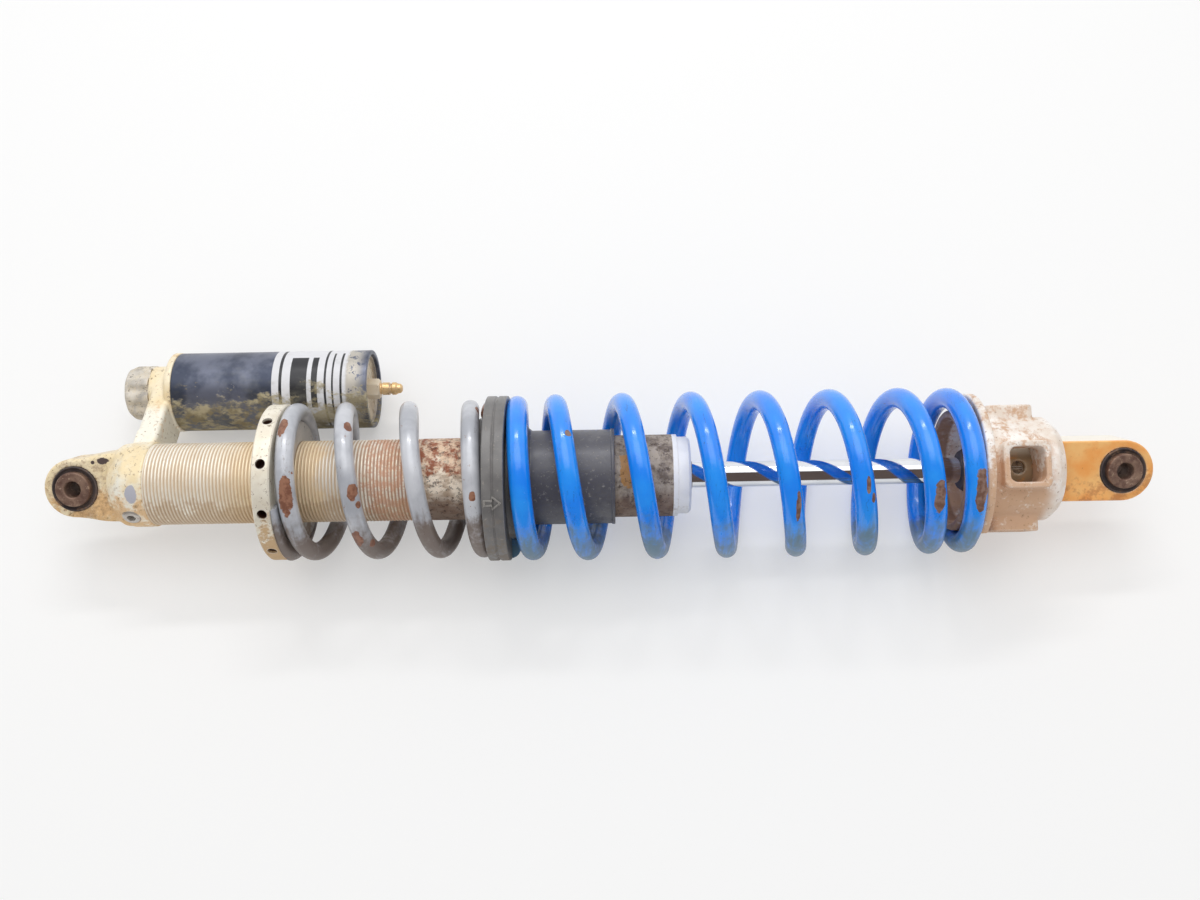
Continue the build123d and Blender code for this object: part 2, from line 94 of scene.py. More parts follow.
def setInputs(node, values):
    # an input that is another node's output is linked, and anything else is set
    for key, value in values.items():
        if isinstance(value, bpy.types.NodeSocket):
            link(value, node.inputs[key])
        else:
            node.inputs[key].default_value = value


def put(kind, inputs=None, **settings):
    new = opened["tree"].nodes.new("ShaderNode" + kind)
    for key, value in settings.items():
        setattr(new, key, value)
    setInputs(new, inputs or {})
    return new


def compute(operation, a, b=0.0, clamp=False):
    return put("Math", {0: a, 1: b}, operation=operation, use_clamp=clamp).outputs[0]


def both(a, b):
    return compute("MULTIPLY", a, b, clamp=True)


def either(a, b):
    return compute("MAXIMUM", a, b, clamp=True)


def vectorMath(operation, a, b=(0.0, 0.0, 0.0)):
    return put("VectorMath", {0: a, 1: b}, operation=operation).outputs[0]


def vectorValue(operation, a, b=(0.0, 0.0, 0.0)):
    return put("VectorMath", {0: a, 1: b}, operation=operation).outputs["Value"]


def part(place, letter):
    return put("SeparateXYZ", {0: place}).outputs[letter]


def stretched(place, factors):
    return vectorMath("MULTIPLY", place, factors)


def fromAxis(place):
    return vectorValue("LENGTH", stretched(place, (0, 1, 1)))


def blended(share, a, b):
    return put("Mix", {0: share, 2: a, 3: b}).outputs[0]


def mixed(mask, under, over):
    return put("Mix", {0: mask, 6: under, 7: over}, data_type="RGBA").outputs[2]


def coated(color, mask, strength, over):
    return mixed(both(mask, strength), color, over)


def ranged(value, bottom, top):
    # straight from bottom to top as value goes from 0 to 1
    return put("MapRange", {"Value": value, "To Min": bottom, "To Max": top}).outputs[0]


def between(value, low, high, bottom=0.0, top=1.0):
    # smooth step from bottom to top as value goes from low to high
    inputs = {"Value": value, "From Min": low, "From Max": high, "To Min": bottom, "To Max": top}
    return put("MapRange", inputs, interpolation_type="SMOOTHSTEP").outputs[0]


def window(value, start, full, fades, gone):
    # 0 before the start, 1 from full to fades, and 0 again once gone
    return both(between(value, start, full), between(value, gone, fades))


def cloudy(vector, scale, detail=4.0, roughness=0.55):
    inputs = {"Vector": vector, "Scale": scale, "Detail": detail, "Roughness": roughness}
    return put("TexNoise", inputs).outputs["Fac"]


def tone(red, green, blue):
    # screen colour from 0 to 255, as the linear colour that a shader takes
    screen = np.array([red, green, blue]) / 255
    linear = np.where(screen <= 0.04045, screen / 12.92, ((screen + 0.055) / 1.055) ** 2.4)
    return (*linear.tolist(), 1.0)


def speckleMask(given):
    # coarse and fine noise together, kept where they pass a threshold that falls as the cover rises
    coarse = cloudy(given["Vector"], given["Scale"], 6.0, 0.65)
    fine = cloudy(given["Vector"], compute("MULTIPLY", given["Scale"], 5.0), 3.0, 0.6)
    threshold = ranged(given["Cover"], 0.78, 0.24)
    low, high = (compute(way, threshold, given["Softness"]) for way in ("SUBTRACT", "ADD"))
    return between(blended(0.3, coarse, fine), low, high)


def sideMask(given):
    # how far a point lies in one direction, wobbled by noise: 0 before the start and 1 after the end
    reach = vectorValue("DOT_PRODUCT", given["Vector"], given["Direction"])
    shift = compute("SUBTRACT", cloudy(given["Vector"], given["Scale"]), 0.5)
    total = compute("ADD", reach, compute("MULTIPLY", shift, given["Wobble"]))
    return between(total, given["Start"], given["End"])


def patchMask(given):
    # a ragged spot: distance from the centre in reaches, plus noise, below one
    offset = vectorMath("SUBTRACT", given["Vector"], given["Centre"])
    length = vectorValue("LENGTH", vectorMath("DIVIDE", offset, given["Reach"]))
    noise = compute("SUBTRACT", cloudy(given["Vector"], given["Scale"], 5.0), 0.5)
    total = compute("ADD", length, compute("MULTIPLY", noise, given["Ragged"]))
    return between(total, 1.06, 0.94)


def wornEdgeMask(given):
    # where the rounded-off normal leaves the true one there is an edge, and noise breaks the wear up
    rounded = put("Bevel", {"Radius": given["Radius"]}, samples=6).outputs[0]
    alike = vectorValue("DOT_PRODUCT", rounded, put("NewGeometry").outputs["Normal"])
    low = ranged(given["Amount"], 0.75, 0.15)
    broken = between(cloudy(given["Vector"], 260.0, 4.0, 0.6), low, compute("ADD", low, 0.12))
    return both(between(alike, 0.995, 0.86), broken)


def scratchesMask(given):
    # thin lines where stretched noise crosses its middle value, let through by coarser noise
    away = compute("SUBTRACT", cloudy(given["Vector"], 1.0, 2.0, 0.5), 0.5)
    line = between(compute("ABSOLUTE", away), given["Width"], 0.0)
    low = ranged(given["Cover"], 0.75, 0.3)
    gate = between(cloudy(given["Vector"], 0.35, 2.0, 0.5), low, compute("ADD", low, 0.08))
    return both(line, gate)


def newGroup(name, makeMask, **inputs):
    # a shared node group whose one output is the mask made from its inputs
    group = bpy.data.node_groups.new(name, "ShaderNodeTree")
    for label, value in {"Vector": (0.0, 0.0, 0.0), **inputs}.items():
        kind = "NodeSocketVector" if isinstance(value, tuple) else "NodeSocketFloat"
        socket = group.interface.new_socket(name=label, in_out="INPUT", socket_type=kind)
        socket.default_value = value
    group.interface.new_socket(name="Mask", in_out="OUTPUT", socket_type="NodeSocketFloat")
    given = group.nodes.new("NodeGroupInput").outputs
    opened["tree"] = group
    link(makeMask(given), group.nodes.new("NodeGroupOutput").inputs["Mask"])
    return group


groups = {
    "speckle": newGroup("speckle", speckleMask, Scale=90.0, Cover=0.4, Softness=0.05),
    "side": newGroup("side", sideMask, Direction=(0.0, -0.94, -0.34), Start=0.0, End=0.02, Wobble=0.01, Scale=60.0),
    "patch": newGroup("patch", patchMask, Centre=(0.0, 0.0, 0.0), Reach=(0.01, 0.01, 0.01), Ragged=1.2, Scale=220.0),
    "wornEdge": newGroup("wornEdge", wornEdgeMask, Radius=0.001, Amount=0.5),
    "scratches": newGroup("scratches", scratchesMask, Width=0.006, Cover=0.4),
}


def effect(name, **values):
    # places one of the shared groups, and gives back its mask
    node = put("Group", node_tree=groups[name])
    setInputs(node, values)
    return node.outputs["Mask"]


def speckled(place, scale, cover, softness):
    return effect("speckle", Vector=place, Scale=scale, Cover=cover, Softness=softness)


def worn(place, radius, amount):
    return effect("wornEdge", Vector=place, Radius=radius, Amount=amount)


def lowSide(place, start, end, wobble):
    # the side that lies away from the light: it holds the dirt, and the painted shade on the body's plain stretch
    return effect("side", Vector=place, Direction=dirtAndShadeSide, Start=start, End=end, Wobble=wobble)


def startMaterial(name, metallic=0.0, roughness=0.5):
    # a new material with its shader and its object coordinates
    material = bpy.data.materials.new(name)
    material.use_nodes = True
    opened["tree"] = material.node_tree
    shader = material.node_tree.nodes["Principled BSDF"]
    setInputs(shader, {"Metallic": metallic, "Roughness": roughness})
    return material, shader, put("TexCoord").outputs["Object"]


def finishShader(shader, color, roughness=None, height=None, depth=0.0002, strength=0.6, metallic=None):
    made = {"Base Color": color, "Roughness": roughness, "Metallic": metallic}
    if height is not None:
        made["Normal"] = put("Bump", {"Height": height, "Distance": depth, "Strength": strength}).outputs[0]
    setInputs(shader, {key: value for key, value in made.items() if value is not None})


# Camera, floor and light
print("scene: camera, floor and light")
camera = {
    "lens": 33.6,           # mm, on a 36 mm sensor
    "distance": 0.700,      # from the damper's axis
    "station": 0.3287,      # along the damper
    "lean": 20.0,           # degrees from straight overhead to the camera's place
    "tilt": 21.35,          # degrees from straight down to the camera's line of sight
    "turn": 0.41,           # degrees towards the upper eye
    "roll": 1.02,           # degrees
}
light = {
    "world": 0.62,
    "darkSide": (0.115, 0.085, 0.075, 1),     # what gloss and glass show towards -Y, where someone would stand
    "darkToWhite": (-0.06, 0.12),
    "soft": {"power": 10.0, "size": (2.0, 1.2), "place": (0.28, 0.34, 1.80)},
    "glint": {"power": 6.0, "size": (0.95, 0.09), "place": (0.22, 1.05, 1.28)},
    "floorColor": (0.92, 0.92, 0.915, 1),     # as the object's underside sees it
    "floorSeen": (0.60, 0.60, 0.598, 1),      # as the camera sees it, under the glow
    "floorGlow": 0.36,
    "floorSize": 3.0,
    "floorGap": 0.0002,
}


def makeCamera():
    lean, tilt, turn, roll = (radians(camera[key]) for key in ("lean", "tilt", "turn", "roll"))
    data = bpy.data.cameras.new("mainCamera")
    data.lens = camera["lens"]
    data.sensor_width = 36
    data.clip_start = 0.01
    eye = placed("mainCamera", data)
    reach = camera["distance"]
    place = Matrix.Translation((camera["station"], -reach * sin(lean), reach * cos(lean)))
    turned = Matrix.Rotation(tilt, 4, "X") @ Matrix.Rotation(turn, 4, "Y") @ Matrix.Rotation(-roll, 4, "Z")
    eye.matrix_world = place @ turned
    bpy.context.scene.camera = eye


def makeLamp(name, spec, target=(0.32, 0, 0)):
    data = bpy.data.lights.new(name, "AREA")
    data.shape = "RECTANGLE"
    data.size, data.size_y = spec["size"]
    data.energy = spec["power"]
    lamp = placed(name, data)
    lamp.location = spec["place"]
    away = lamp.location - type(lamp.location)(target)
    lamp.rotation_euler = away.to_track_quat("Z", "Y").to_euler()


def makeWorld():
    # white, but what gloss and glass show runs from the dark side to white with their direction's Y
    world = bpy.data.worlds.new("paleRoom")
    bpy.context.scene.world = world
    world.use_nodes = True
    opened["tree"] = world.node_tree
    ray = put("LightPath").outputs
    glossOrGlass = compute("MAXIMUM", ray["Is Glossy Ray"], ray["Is Transmission Ray"])
    seen = compute("MAXIMUM", ray["Is Camera Ray"], glossOrGlass)
    direction = put("TexCoord").outputs["Generated"]
    white = between(part(direction, "Y"), *light["darkToWhite"])
    white = compute("MAXIMUM", white, compute("SUBTRACT", 1.0, glossOrGlass))
    color = mixed(white, light["darkSide"], (1, 1, 1, 1))
    strength = ranged(seen, light["world"], 1.0)
    setInputs(world.node_tree.nodes["Background"], {"Color": color, "Strength": strength})


def makeFloor():
    # the camera sees a greyer floor than the object does, with a glow of its own that evens it out
    size, height = light["floorSize"], cadBox[0][2] - light["floorGap"]
    corners = [(x, y, height) for x, y in ((-size, -size), (size, -size), (size, size), (-size, size))]
    mesh = bpy.data.meshes.new("floor")
    mesh.from_pydata(corners, [], [(0, 1, 2, 3)])
    floor = placed("floor", mesh)
    material, shader, _ = startMaterial("paleFloor", roughness=0.85)
    seen = put("LightPath").outputs["Is Camera Ray"]
    glow = compute("MULTIPLY", seen, light["floorGlow"])
    setInputs(shader, {"Specular IOR Level": 0.1, "Emission Color": (1, 1, 1, 1), "Emission Strength": glow})
    finishShader(shader, mixed(seen, light["floorColor"], light["floorSeen"]))
    mesh.materials.append(material)


bpy.context.scene.view_settings.view_transform = "Standard"
makeCamera()
makeLamp("softLamp", light["soft"])
makeLamp("glintLamp", light["glint"])
makeWorld()
makeFloor()


# Meshes from grids of points
def meshFromGrid(name, points, ringClosed=False, sharpAngle=35):
    # points[row, column]: a quad joins each point to the next row and the next column, round to the
    # first column again. A flat face closes each open end, and the winding is turned to face outwards.
    rows, columns = points.shape[:2]
    index = np.arange(rows * columns).reshape(rows, columns)
    beside, below = np.roll(index, -1, axis=1), np.roll(index, -1, axis=0)
    quads = np.stack([index, beside, np.roll(below, -1, axis=1), below], axis=-1)
    quads = (quads if ringClosed else quads[:-1]).reshape(-1, 4)
    places = points.reshape(-1, 3)
    a, b, c, d = (places[quads[:, k]] - places.mean(axis=0) for k in range(4))
    volume = (np.cross(a, b) * c).sum() + (np.cross(a, c) * d).sum()
    ends = [] if ringClosed else [index[0, ::-1].tolist(), index[-1].tolist()]
    faces = quads.tolist() + ends
    if volume < 0:
        faces = [face[::-1] for face in faces]
    mesh = bpy.data.meshes.new(name)
    mesh.from_pydata(places.tolist(), [], faces)
    mesh.shade_smooth()
    mesh.set_sharp_from_angle(angle=radians(sharpAngle))
    return placed(name, mesh)


def softened(profile, radius, steps=4):
    # rounds each corner of a closed profile: a quadratic curve from one radius before the corner to one
    # radius after it, with a further point on each side that keeps the flats flat
    corners = np.array(profile, float)
    before, after = np.roll(corners, 1, axis=0) - corners, np.roll(corners, -1, axis=0) - corners
    lengthBefore = np.linalg.norm(before, axis=1, keepdims=True)
    lengthAfter = np.linalg.norm(after, axis=1, keepdims=True)
    reach = np.minimum(radius, 0.35 * np.minimum(lengthBefore, lengthAfter))
    start, end = corners + before / lengthBefore * reach, corners + after / lengthAfter * reach
    t = np.linspace(0, 1, steps + 1)[None, :, None]
    curve = (1 - t) ** 2 * start[:, None] + 2 * t * (1 - t) * corners[:, None] + t ** 2 * end[:, None]
    supportBefore = corners + before / lengthBefore * reach * 1.3
    supportAfter = corners + after / lengthAfter * reach * 1.3
    return np.concatenate([supportBefore[:, None], curve, supportAfter[:, None]], axis=1).reshape(-1, 2)


def turned(profile, segments=128, centre=(0, 0)):
    # carries each (station, radius) of a profile round the axis: y = radius cos a, z = radius sin a
    profile = np.array(profile, float)
    angle = np.linspace(0, 2 * pi, segments, endpoint=False)
    x = np.repeat(profile[:, :1], segments, axis=1)
    y, z = centre[0] + profile[:, 1:] * np.cos(angle), centre[1] + profile[:, 1:] * np.sin(angle)
    return np.stack([x, y, z], axis=-1)


def alongAxis(points, origin, direction):
    # moves points built along +X to an axis through origin: x' along it, y' and z' across it
    direction = np.array(direction, float) / np.linalg.norm(direction)
    across = np.cross((0, 0, 1), direction) if abs(direction[2]) < 0.99 else np.array((0.0, 1, 0))
    across /= np.linalg.norm(across)
    axes = np.stack([direction, across, np.cross(direction, across)])
    return np.array(origin) + points @ axes


def dress(piece, material, body, *replaced):
    # gives a new piece its finish and its body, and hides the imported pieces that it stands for
    piece.data.materials.clear()
    piece.data.materials.append(material)
    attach(piece, body)
    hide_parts(*replaced)
    return piece


def addTo(parent, points, name, ringClosed=False):
    # joins one more closed shape to a piece that already has its finish
    extra = meshFromGrid(name, points, ringClosed)
    whole = bmesh.new()
    whole.from_mesh(parent.data)
    whole.from_mesh(extra.data)
    whole.to_mesh(parent.data)
    whole.free()
    bpy.data.objects.remove(extra)
    return parent


# Directions and places that several pieces share
dirtAndShadeSide = (0.0, -0.94, -0.34)
centreOfReservoir = tuple((low + high) / 2 for low, high in zip(*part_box("reservoir_tube")))[1:]
eyeAxis = np.array(frame["record"]["mounts"][0]["axis"], float)
eyeAcross = np.cross((1.0, 0, 0), eyeAxis)
eyeStations = {"upper": 0.0, "lower": frame["record"]["mounts"][1]["pos_m"][0]}


# Head casting, with the upper eye and the reservoir's neck
headCasting = {"voxel": 0.0007, "smoothing": 4}
eyeFlare = {"width": 0.0030, "from": -0.002, "full": 0.022, "fades": 0.027, "gone": 0.034, "keepInside": 0.0148,
            "easing": 0.003, "halfThickness": 0.0155, "edge": 0.002}
headFinish = {
    "barrel": (0.018, 0.034), "arm": (0.022, 0.032, 0.048, 0.062), "neck": (0.050, 0.064),
    "ring": (0.004, 0.0, 0.0), "ringGrime": (0.034, 0.018),
    "base": tone(246, 226, 184), "bleached": tone(254, 250, 236), "gold": tone(226, 180, 118),
    "silver": tone(188, 188, 198), "silverSpot": ((0.0399, -0.0144, 0.0222), (0.0035, 0.0058, 0.0058)),
    "chips": [((0.0184, 0.0088, 0.0192), (0.0034, 0.0020, 0.0020)),
              ((0.0123, 0.0081, 0.0188), (0.0012, 0.0011, 0.0011)),
              ((0.0290, 0.0040, 0.0200), (0.0010, 0.0030, 0.0030))],
}


def recast(name, source, voxel, smoothing):
    # a merged copy of a packed casting, remeshed evenly and smoothed, so that its corners are soft
    mesh = nodes[source].data.copy()
    shape = bmesh.new()
    shape.from_mesh(mesh)
    bmesh.ops.remove_doubles(shape, verts=shape.verts, dist=1e-6)
    shape.to_mesh(mesh)
    shape.free()
    rough = placed(name + "Rough", mesh)
    remesh = rough.modifiers.new("even", "REMESH")
    remesh.mode = "VOXEL"
    remesh.voxel_size = voxel
    smooth = rough.modifiers.new("soft", "SMOOTH")
    smooth.iterations = smoothing
    smooth.factor = 0.5
    evaluated = rough.evaluated_get(bpy.context.evaluated_depsgraph_get())
    cast = bpy.data.meshes.new_from_object(evaluated)
    cast.name = name
    bpy.data.objects.remove(rough)
    cast.shade_smooth()
    return placed(name, cast)


def smoothStep(x, low, high):
    t = np.clip((x - low) / (high - low), 0, 1)
    return t ** 2 * (3 - 2 * t)


def flareEyePlate(piece):
    # the plate widens from its round end towards the barrel: each point beyond the bore moves
    # outwards by the flare's width times a smooth step along the plate
    form, mesh = eyeFlare, piece.data
    points = np.empty(len(mesh.vertices) * 3)
    mesh.vertices.foreach_get("co", points)
    points = points.reshape(-1, 3)
    station, across, depth = points[:, 0], points @ eyeAcross, np.abs(points @ eyeAxis)
    amount = smoothStep(station, form["from"], form["full"]) * (1 - smoothStep(station, form["fades"], form["gone"]))
    amount *= smoothStep(np.abs(across), form["keepInside"], form["keepInside"] + form["easing"])
    amount *= smoothStep(form["halfThickness"] - depth, 0, form["edge"])
    points += (np.sign(across) * amount * form["width"])[:, None] * eyeAcross
    mesh.vertices.foreach_set("co", points.ravel())
    mesh.update()
    return piece


def headMaterial():
    material, shader, place = startMaterial("sunBleachedGold", metallic=0.1, roughness=0.42)
    bleached = between(cloudy(place, 30.0, 6.0, 0.65), 0.40, 0.58)
    barrel = between(part(place, "X"), *headFinish["barrel"])
    bleached = both(bleached, ranged(barrel, 0.35, 1.0))
    across = part(place, "Y")
    arm = window(across, *headFinish["arm"])
    bleached = either(bleached, both(arm, 0.95))
    neck = between(across, *headFinish["neck"])
    bleached = both(bleached, ranged(neck, 1.0, 0.4))
    color = mixed(bleached, headFinish["base"], headFinish["bleached"])
    low = lowSide(place, -0.010, 0.024, 0.03)
    cover = ranged(low, 0.30, 0.66)
    stains = speckled(place, 85.0, cover, 0.08)
    color = coated(color, stains, 0.8, headFinish["gold"])
    fromRing = vectorValue("DISTANCE", place, headFinish["ring"])
    grime = both(between(fromRing, *headFinish["ringGrime"]), speckled(place, 130.0, 0.46, 0.10))
    color = coated(color, grime, 0.65, tone(150, 108, 74))
    specks = speckled(place, 420.0, 0.36, 0.02)
    color = coated(color, specks, 0.7, tone(150, 122, 92))
    edge = worn(place, 0.0012, 0.75)
    color = coated(color, edge, 0.8, tone(252, 246, 232))
    centre, reach = headFinish["silverSpot"]
    silver = effect("patch", Vector=place, Centre=centre, Reach=reach, Ragged=0.5, Scale=260.0)
    color = mixed(silver, color, headFinish["silver"])
    chipped = 0.0
    for centre, reach in headFinish["chips"]:
        chip = effect("patch", Vector=place, Centre=centre, Reach=reach, Ragged=1.0, Scale=500.0)
        chipped = either(chip, chipped)
    color = mixed(chipped, color, tone(92, 78, 76))
    dull = either(stains, specks)
    rough = ranged(dull, 0.38, 0.72)
    height = blended(0.5, cloudy(place, 900.0, 3.0), specks)
    height = compute("SUBTRACT", height, chipped)
    finishShader(shader, color, rough, height, 0.00025, 0.5)
    return material


# Damper body: a tube with a fine outside thread on its upper part
threadedBody = {
    "pitch": 0.0254 / 12,
    "depth": 0.0009,
    "threadLength": 0.168,     # from the head
    "runIn": 0.001,
    "runOut": 0.004,
    "sharpness": 1.4,
    "bore": 0.023,
    "rowsPerPitch": 8,
    "plainRows": 60,
    "columns": 96,
}


def makeThreadedBody():
    # outer radius = full radius - depth (1 + cos 2 pi (station / pitch - turn)) / 2, faded in and out
    # at the thread's ends; the bore closes the ring of the profile
    start, end = span("body_tube")
    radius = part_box("body_tube")[1].y
    threadEnd = start + threadedBody["threadLength"]
    turns = threadedBody["threadLength"] / threadedBody["pitch"]
    threadRows = np.linspace(start, threadEnd, int(turns * threadedBody["rowsPerPitch"]))
    plainRows = np.linspace(threadEnd, end, threadedBody["plainRows"])[1:]
    x = np.concatenate([threadRows, plainRows])[:, None]
    angle = np.linspace(0, 2 * pi, threadedBody["columns"], endpoint=False)[None, :]
    fade = np.clip((x - start) / threadedBody["runIn"], 0, 1)
    fade = fade * np.clip((threadEnd - x) / threadedBody["runOut"], 0, 1)
    wave = (1 + np.cos(2 * pi * (x - start) / threadedBody["pitch"] - angle)) / 2
    r = radius - threadedBody["depth"] * fade * wave ** threadedBody["sharpness"]
    outside = np.stack([x + 0 * angle, r * np.cos(angle), r * np.sin(angle)], axis=-1)
    inside = turned([(end, threadedBody["bore"]), (start, threadedBody["bore"])], threadedBody["columns"])
    return meshFromGrid("threadedBody", np.concatenate([outside, inside]), ringClosed=True, sharpAngle=60)


bodyFinish = {
    "ragged": 0.045,                            # how far noise carries the zones' ends
    "gold": (0.085, 0.112, 0.150, 0.165),       # stations where a zone starts, is full, fades and is gone
    "silver": (0.150, 0.158, 0.170, 0.180),
    "rusty": (0.166, 0.186),
    "roots": (0.02540, 0.02482),                # radii
    "late": (0.315, 0.325),
    "goldStain": {"Centre": (0.3395, -0.006, 0.025), "Reach": (0.004, 0.010, 0.010), "Ragged": 1.6, "Scale": 160.0},
}


def bodyMaterial():
    material, shader, place = startMaterial("grimyThreadedTube", metallic=0.25, roughness=0.42)
    station = part(place, "X")
    radius = fromAxis(place)
    away = compute("SUBTRACT", cloudy(place, 40.0, 6.0, 0.65), 0.5)
    ragged = put("Math", {0: away, 1: bodyFinish["ragged"], 2: station}, operation="MULTIPLY_ADD").outputs[0]
    threadEnd = span("body_tube")[0] + threadedBody["threadLength"]
    plain = between(station, threadEnd - 0.0015, threadEnd)
    clouds = between(cloudy(place, 38.0, 6.0), 0.38, 0.62)
    color = mixed(clouds, tone(246, 234, 214), tone(255, 250, 238))
    gold = window(ragged, *bodyFinish["gold"])
    color = coated(color, gold, 0.5, tone(244, 216, 166))
    silver = window(ragged, *bodyFinish["silver"])
    color = coated(color, silver, 0.5, tone(226, 222, 216))
    # grime fills the thread's roots, and it is rust-brown further down the tube
    rusty = between(ragged, *bodyFinish["rusty"])
    rootColor = mixed(rusty, tone(196, 168, 134), tone(158, 104, 76))
    threaded = compute("SUBTRACT", 1.0, plain)
    roots = both(between(radius, *bodyFinish["roots"]), threaded)
    color = coated(color, roots, 0.75, rootColor)
    low = lowSide(place, -0.002, 0.024, 0.018)
    cover = ranged(low, 0.20, 0.70)
    mud = speckled(place, 80.0, cover, 0.08)
    color = coated(color, mud, 0.55, tone(190, 158, 120))
    rustCover = ranged(rusty, 0.05, 0.53)
    rust = both(speckled(place, 210.0, rustCover, 0.05), threaded)
    color = coated(color, rust, 0.75, tone(206, 158, 128))
    # the plain stretch: tan and silver, with dark red blotches on top, and a darker brown lower side that is mud with
    # painted shade
    streakPlace = stretched(place, (150.0, 260.0, 260.0))
    silverTan = mixed(between(cloudy(streakPlace, 1.0, 5.0), 0.40, 0.60), tone(190, 168, 146), tone(248, 234, 216))
    shadeAndMudBelow = lowSide(place, 0.006, 0.018, 0.012)
    silverTan = coated(silverTan, shadeAndMudBelow, 0.85, tone(116, 88, 72))
    upper = effect("side", Vector=place, Direction=(0.0, 0.94, 0.34), Start=-0.006, End=0.006, Wobble=0.014)
    blotchCover = ranged(upper, 0.12, 0.60)
    blotches = speckled(place, 110.0, blotchCover, 0.05)
    rawRust = mixed(between(cloudy(place, 160.0, 5.0, 0.7), 0.42, 0.58), tone(158, 92, 64), tone(236, 208, 180))
    silverTan = mixed(blotches, silverTan, rawRust)
    # the lower end: dark, pitted and mottled
    late = between(station, *bodyFinish["late"])
    mottled = mixed(between(cloudy(place, 90.0, 6.0, 0.7), 0.36, 0.60), tone(112, 98, 88), tone(182, 168, 152))
    goldStain = effect("patch", Vector=place, **bodyFinish["goldStain"])
    mottled = coated(mottled, goldStain, 0.8, tone(190, 134, 66))
    # the lower side darker brown: mud with painted shade
    mottled = coated(mottled, shadeAndMudBelow, 0.6, tone(126, 92, 70))
    silverTan = mixed(late, silverTan, mottled)
    color = mixed(plain, color, silverTan)
    pits = speckled(place, 330.0, 0.40, 0.03)
    pitted = both(pits, plain)
    color = coated(color, pitted, 0.7, tone(60, 42, 34))
    dirty = either(either(mud, rust), either(roots, plain))
    rough = ranged(dirty, 0.36, 0.62)
    metal = ranged(dirty, 0.25, 0.05)
    height = blended(0.5, cloudy(place, 700.0), pitted)
    finishShader(shader, color, rough, height, 0.00025, 0.6, metal)
    return material


# Springs, both wound right-handed, with closed and ground ends
springForm = {"inside": 0.0762, "around": 32, "perTurn": 84}
mainSpring = {"wire": 0.0128, "turns": 8.28, "firstAngle": 207, "closed": 0.48, "closing": 1.4, "ground": 0.57,
              "swell": 0.0011, "keep": 0.6247}
tenderSpring = {"wire": 0.0111, "turns": 4.77, "firstAngle": 130, "closed": 0.83, "closing": 0.37, "ground": 0.75,
                "swell": 0.0, "keep": 0.6444}


def springLine(form, start, end):
    # the wire rises one diameter a turn while closed, eases over the closing turns into an even pitch
    # that fills the length, and eases back again
    closed, closing, wire, turns = (form[key] for key in ("closed", "closing", "wire", "turns"))
    travel = end - start + wire * (2 * form["ground"] - 1)
    pitch = (travel - 2 * wire * closed - wire * closing) / (turns - 2 * closed - closing)
    turn = np.linspace(0, turns, int(turns * springForm["perTurn"]) + 1)
    opening = np.clip(turn - closed, 0, closing)
    openTurns = np.clip(turn - closed - closing, 0, turns - 2 * closed - 2 * closing)
    shutting = np.clip(turn - turns + closed + closing, 0, closing)
    eased = opening ** 2 / (2 * closing) + openTurns + shutting - shutting ** 2 / (2 * closing)
    station = start + wire * (0.5 - form["ground"]) + wire * turn + (pitch - wire) * eased
    blend = closed + closing
    swell = form["swell"] * np.minimum(np.minimum(turn, turns - turn), blend) / blend
    radius = (springForm["inside"] + wire) / 2 + swell
    angle = 2 * pi * turn + radians(form["firstAngle"])
    return np.stack([station, radius * np.cos(angle), radius * np.sin(angle)], axis=-1)


def makeSpring(name, form, start, end):
    # a round wire along the line, its circle square to the line at each point, cut flat at both ends
    line = springLine(form, start, end)
    tangent = np.gradient(line, axis=0)
    tangent /= np.linalg.norm(tangent, axis=1, keepdims=True)
    outward = line * (0, 1, 1)
    outward -= (outward * tangent).sum(axis=1, keepdims=True) * tangent
    outward /= np.linalg.norm(outward, axis=1, keepdims=True)
    sideways = np.cross(tangent, outward)
    angle = np.linspace(0, 2 * pi, springForm["around"], endpoint=False)[None, :, None]
    radius = form["wire"] / 2
    points = line[:, None] + radius * (outward[:, None] * np.cos(angle) + sideways[:, None] * np.sin(angle))
    points[..., 0] = np.clip(points[..., 0], start, end)
    return meshFromGrid(name, points, sharpAngle=40)


def alongWire(place):
    # (station, radius, a fifth of the way round): a pattern on it is drawn out along the wire
    parts = put("SeparateXYZ", {0: place}).outputs
    angle = compute("ARCTAN2", parts["Z"], parts["Y"])
    around = compute("MULTIPLY", angle, 0.009)
    radius = fromAxis(place)
    return put("CombineXYZ", {0: parts["X"], 1: radius, 2: around}).outputs[0]


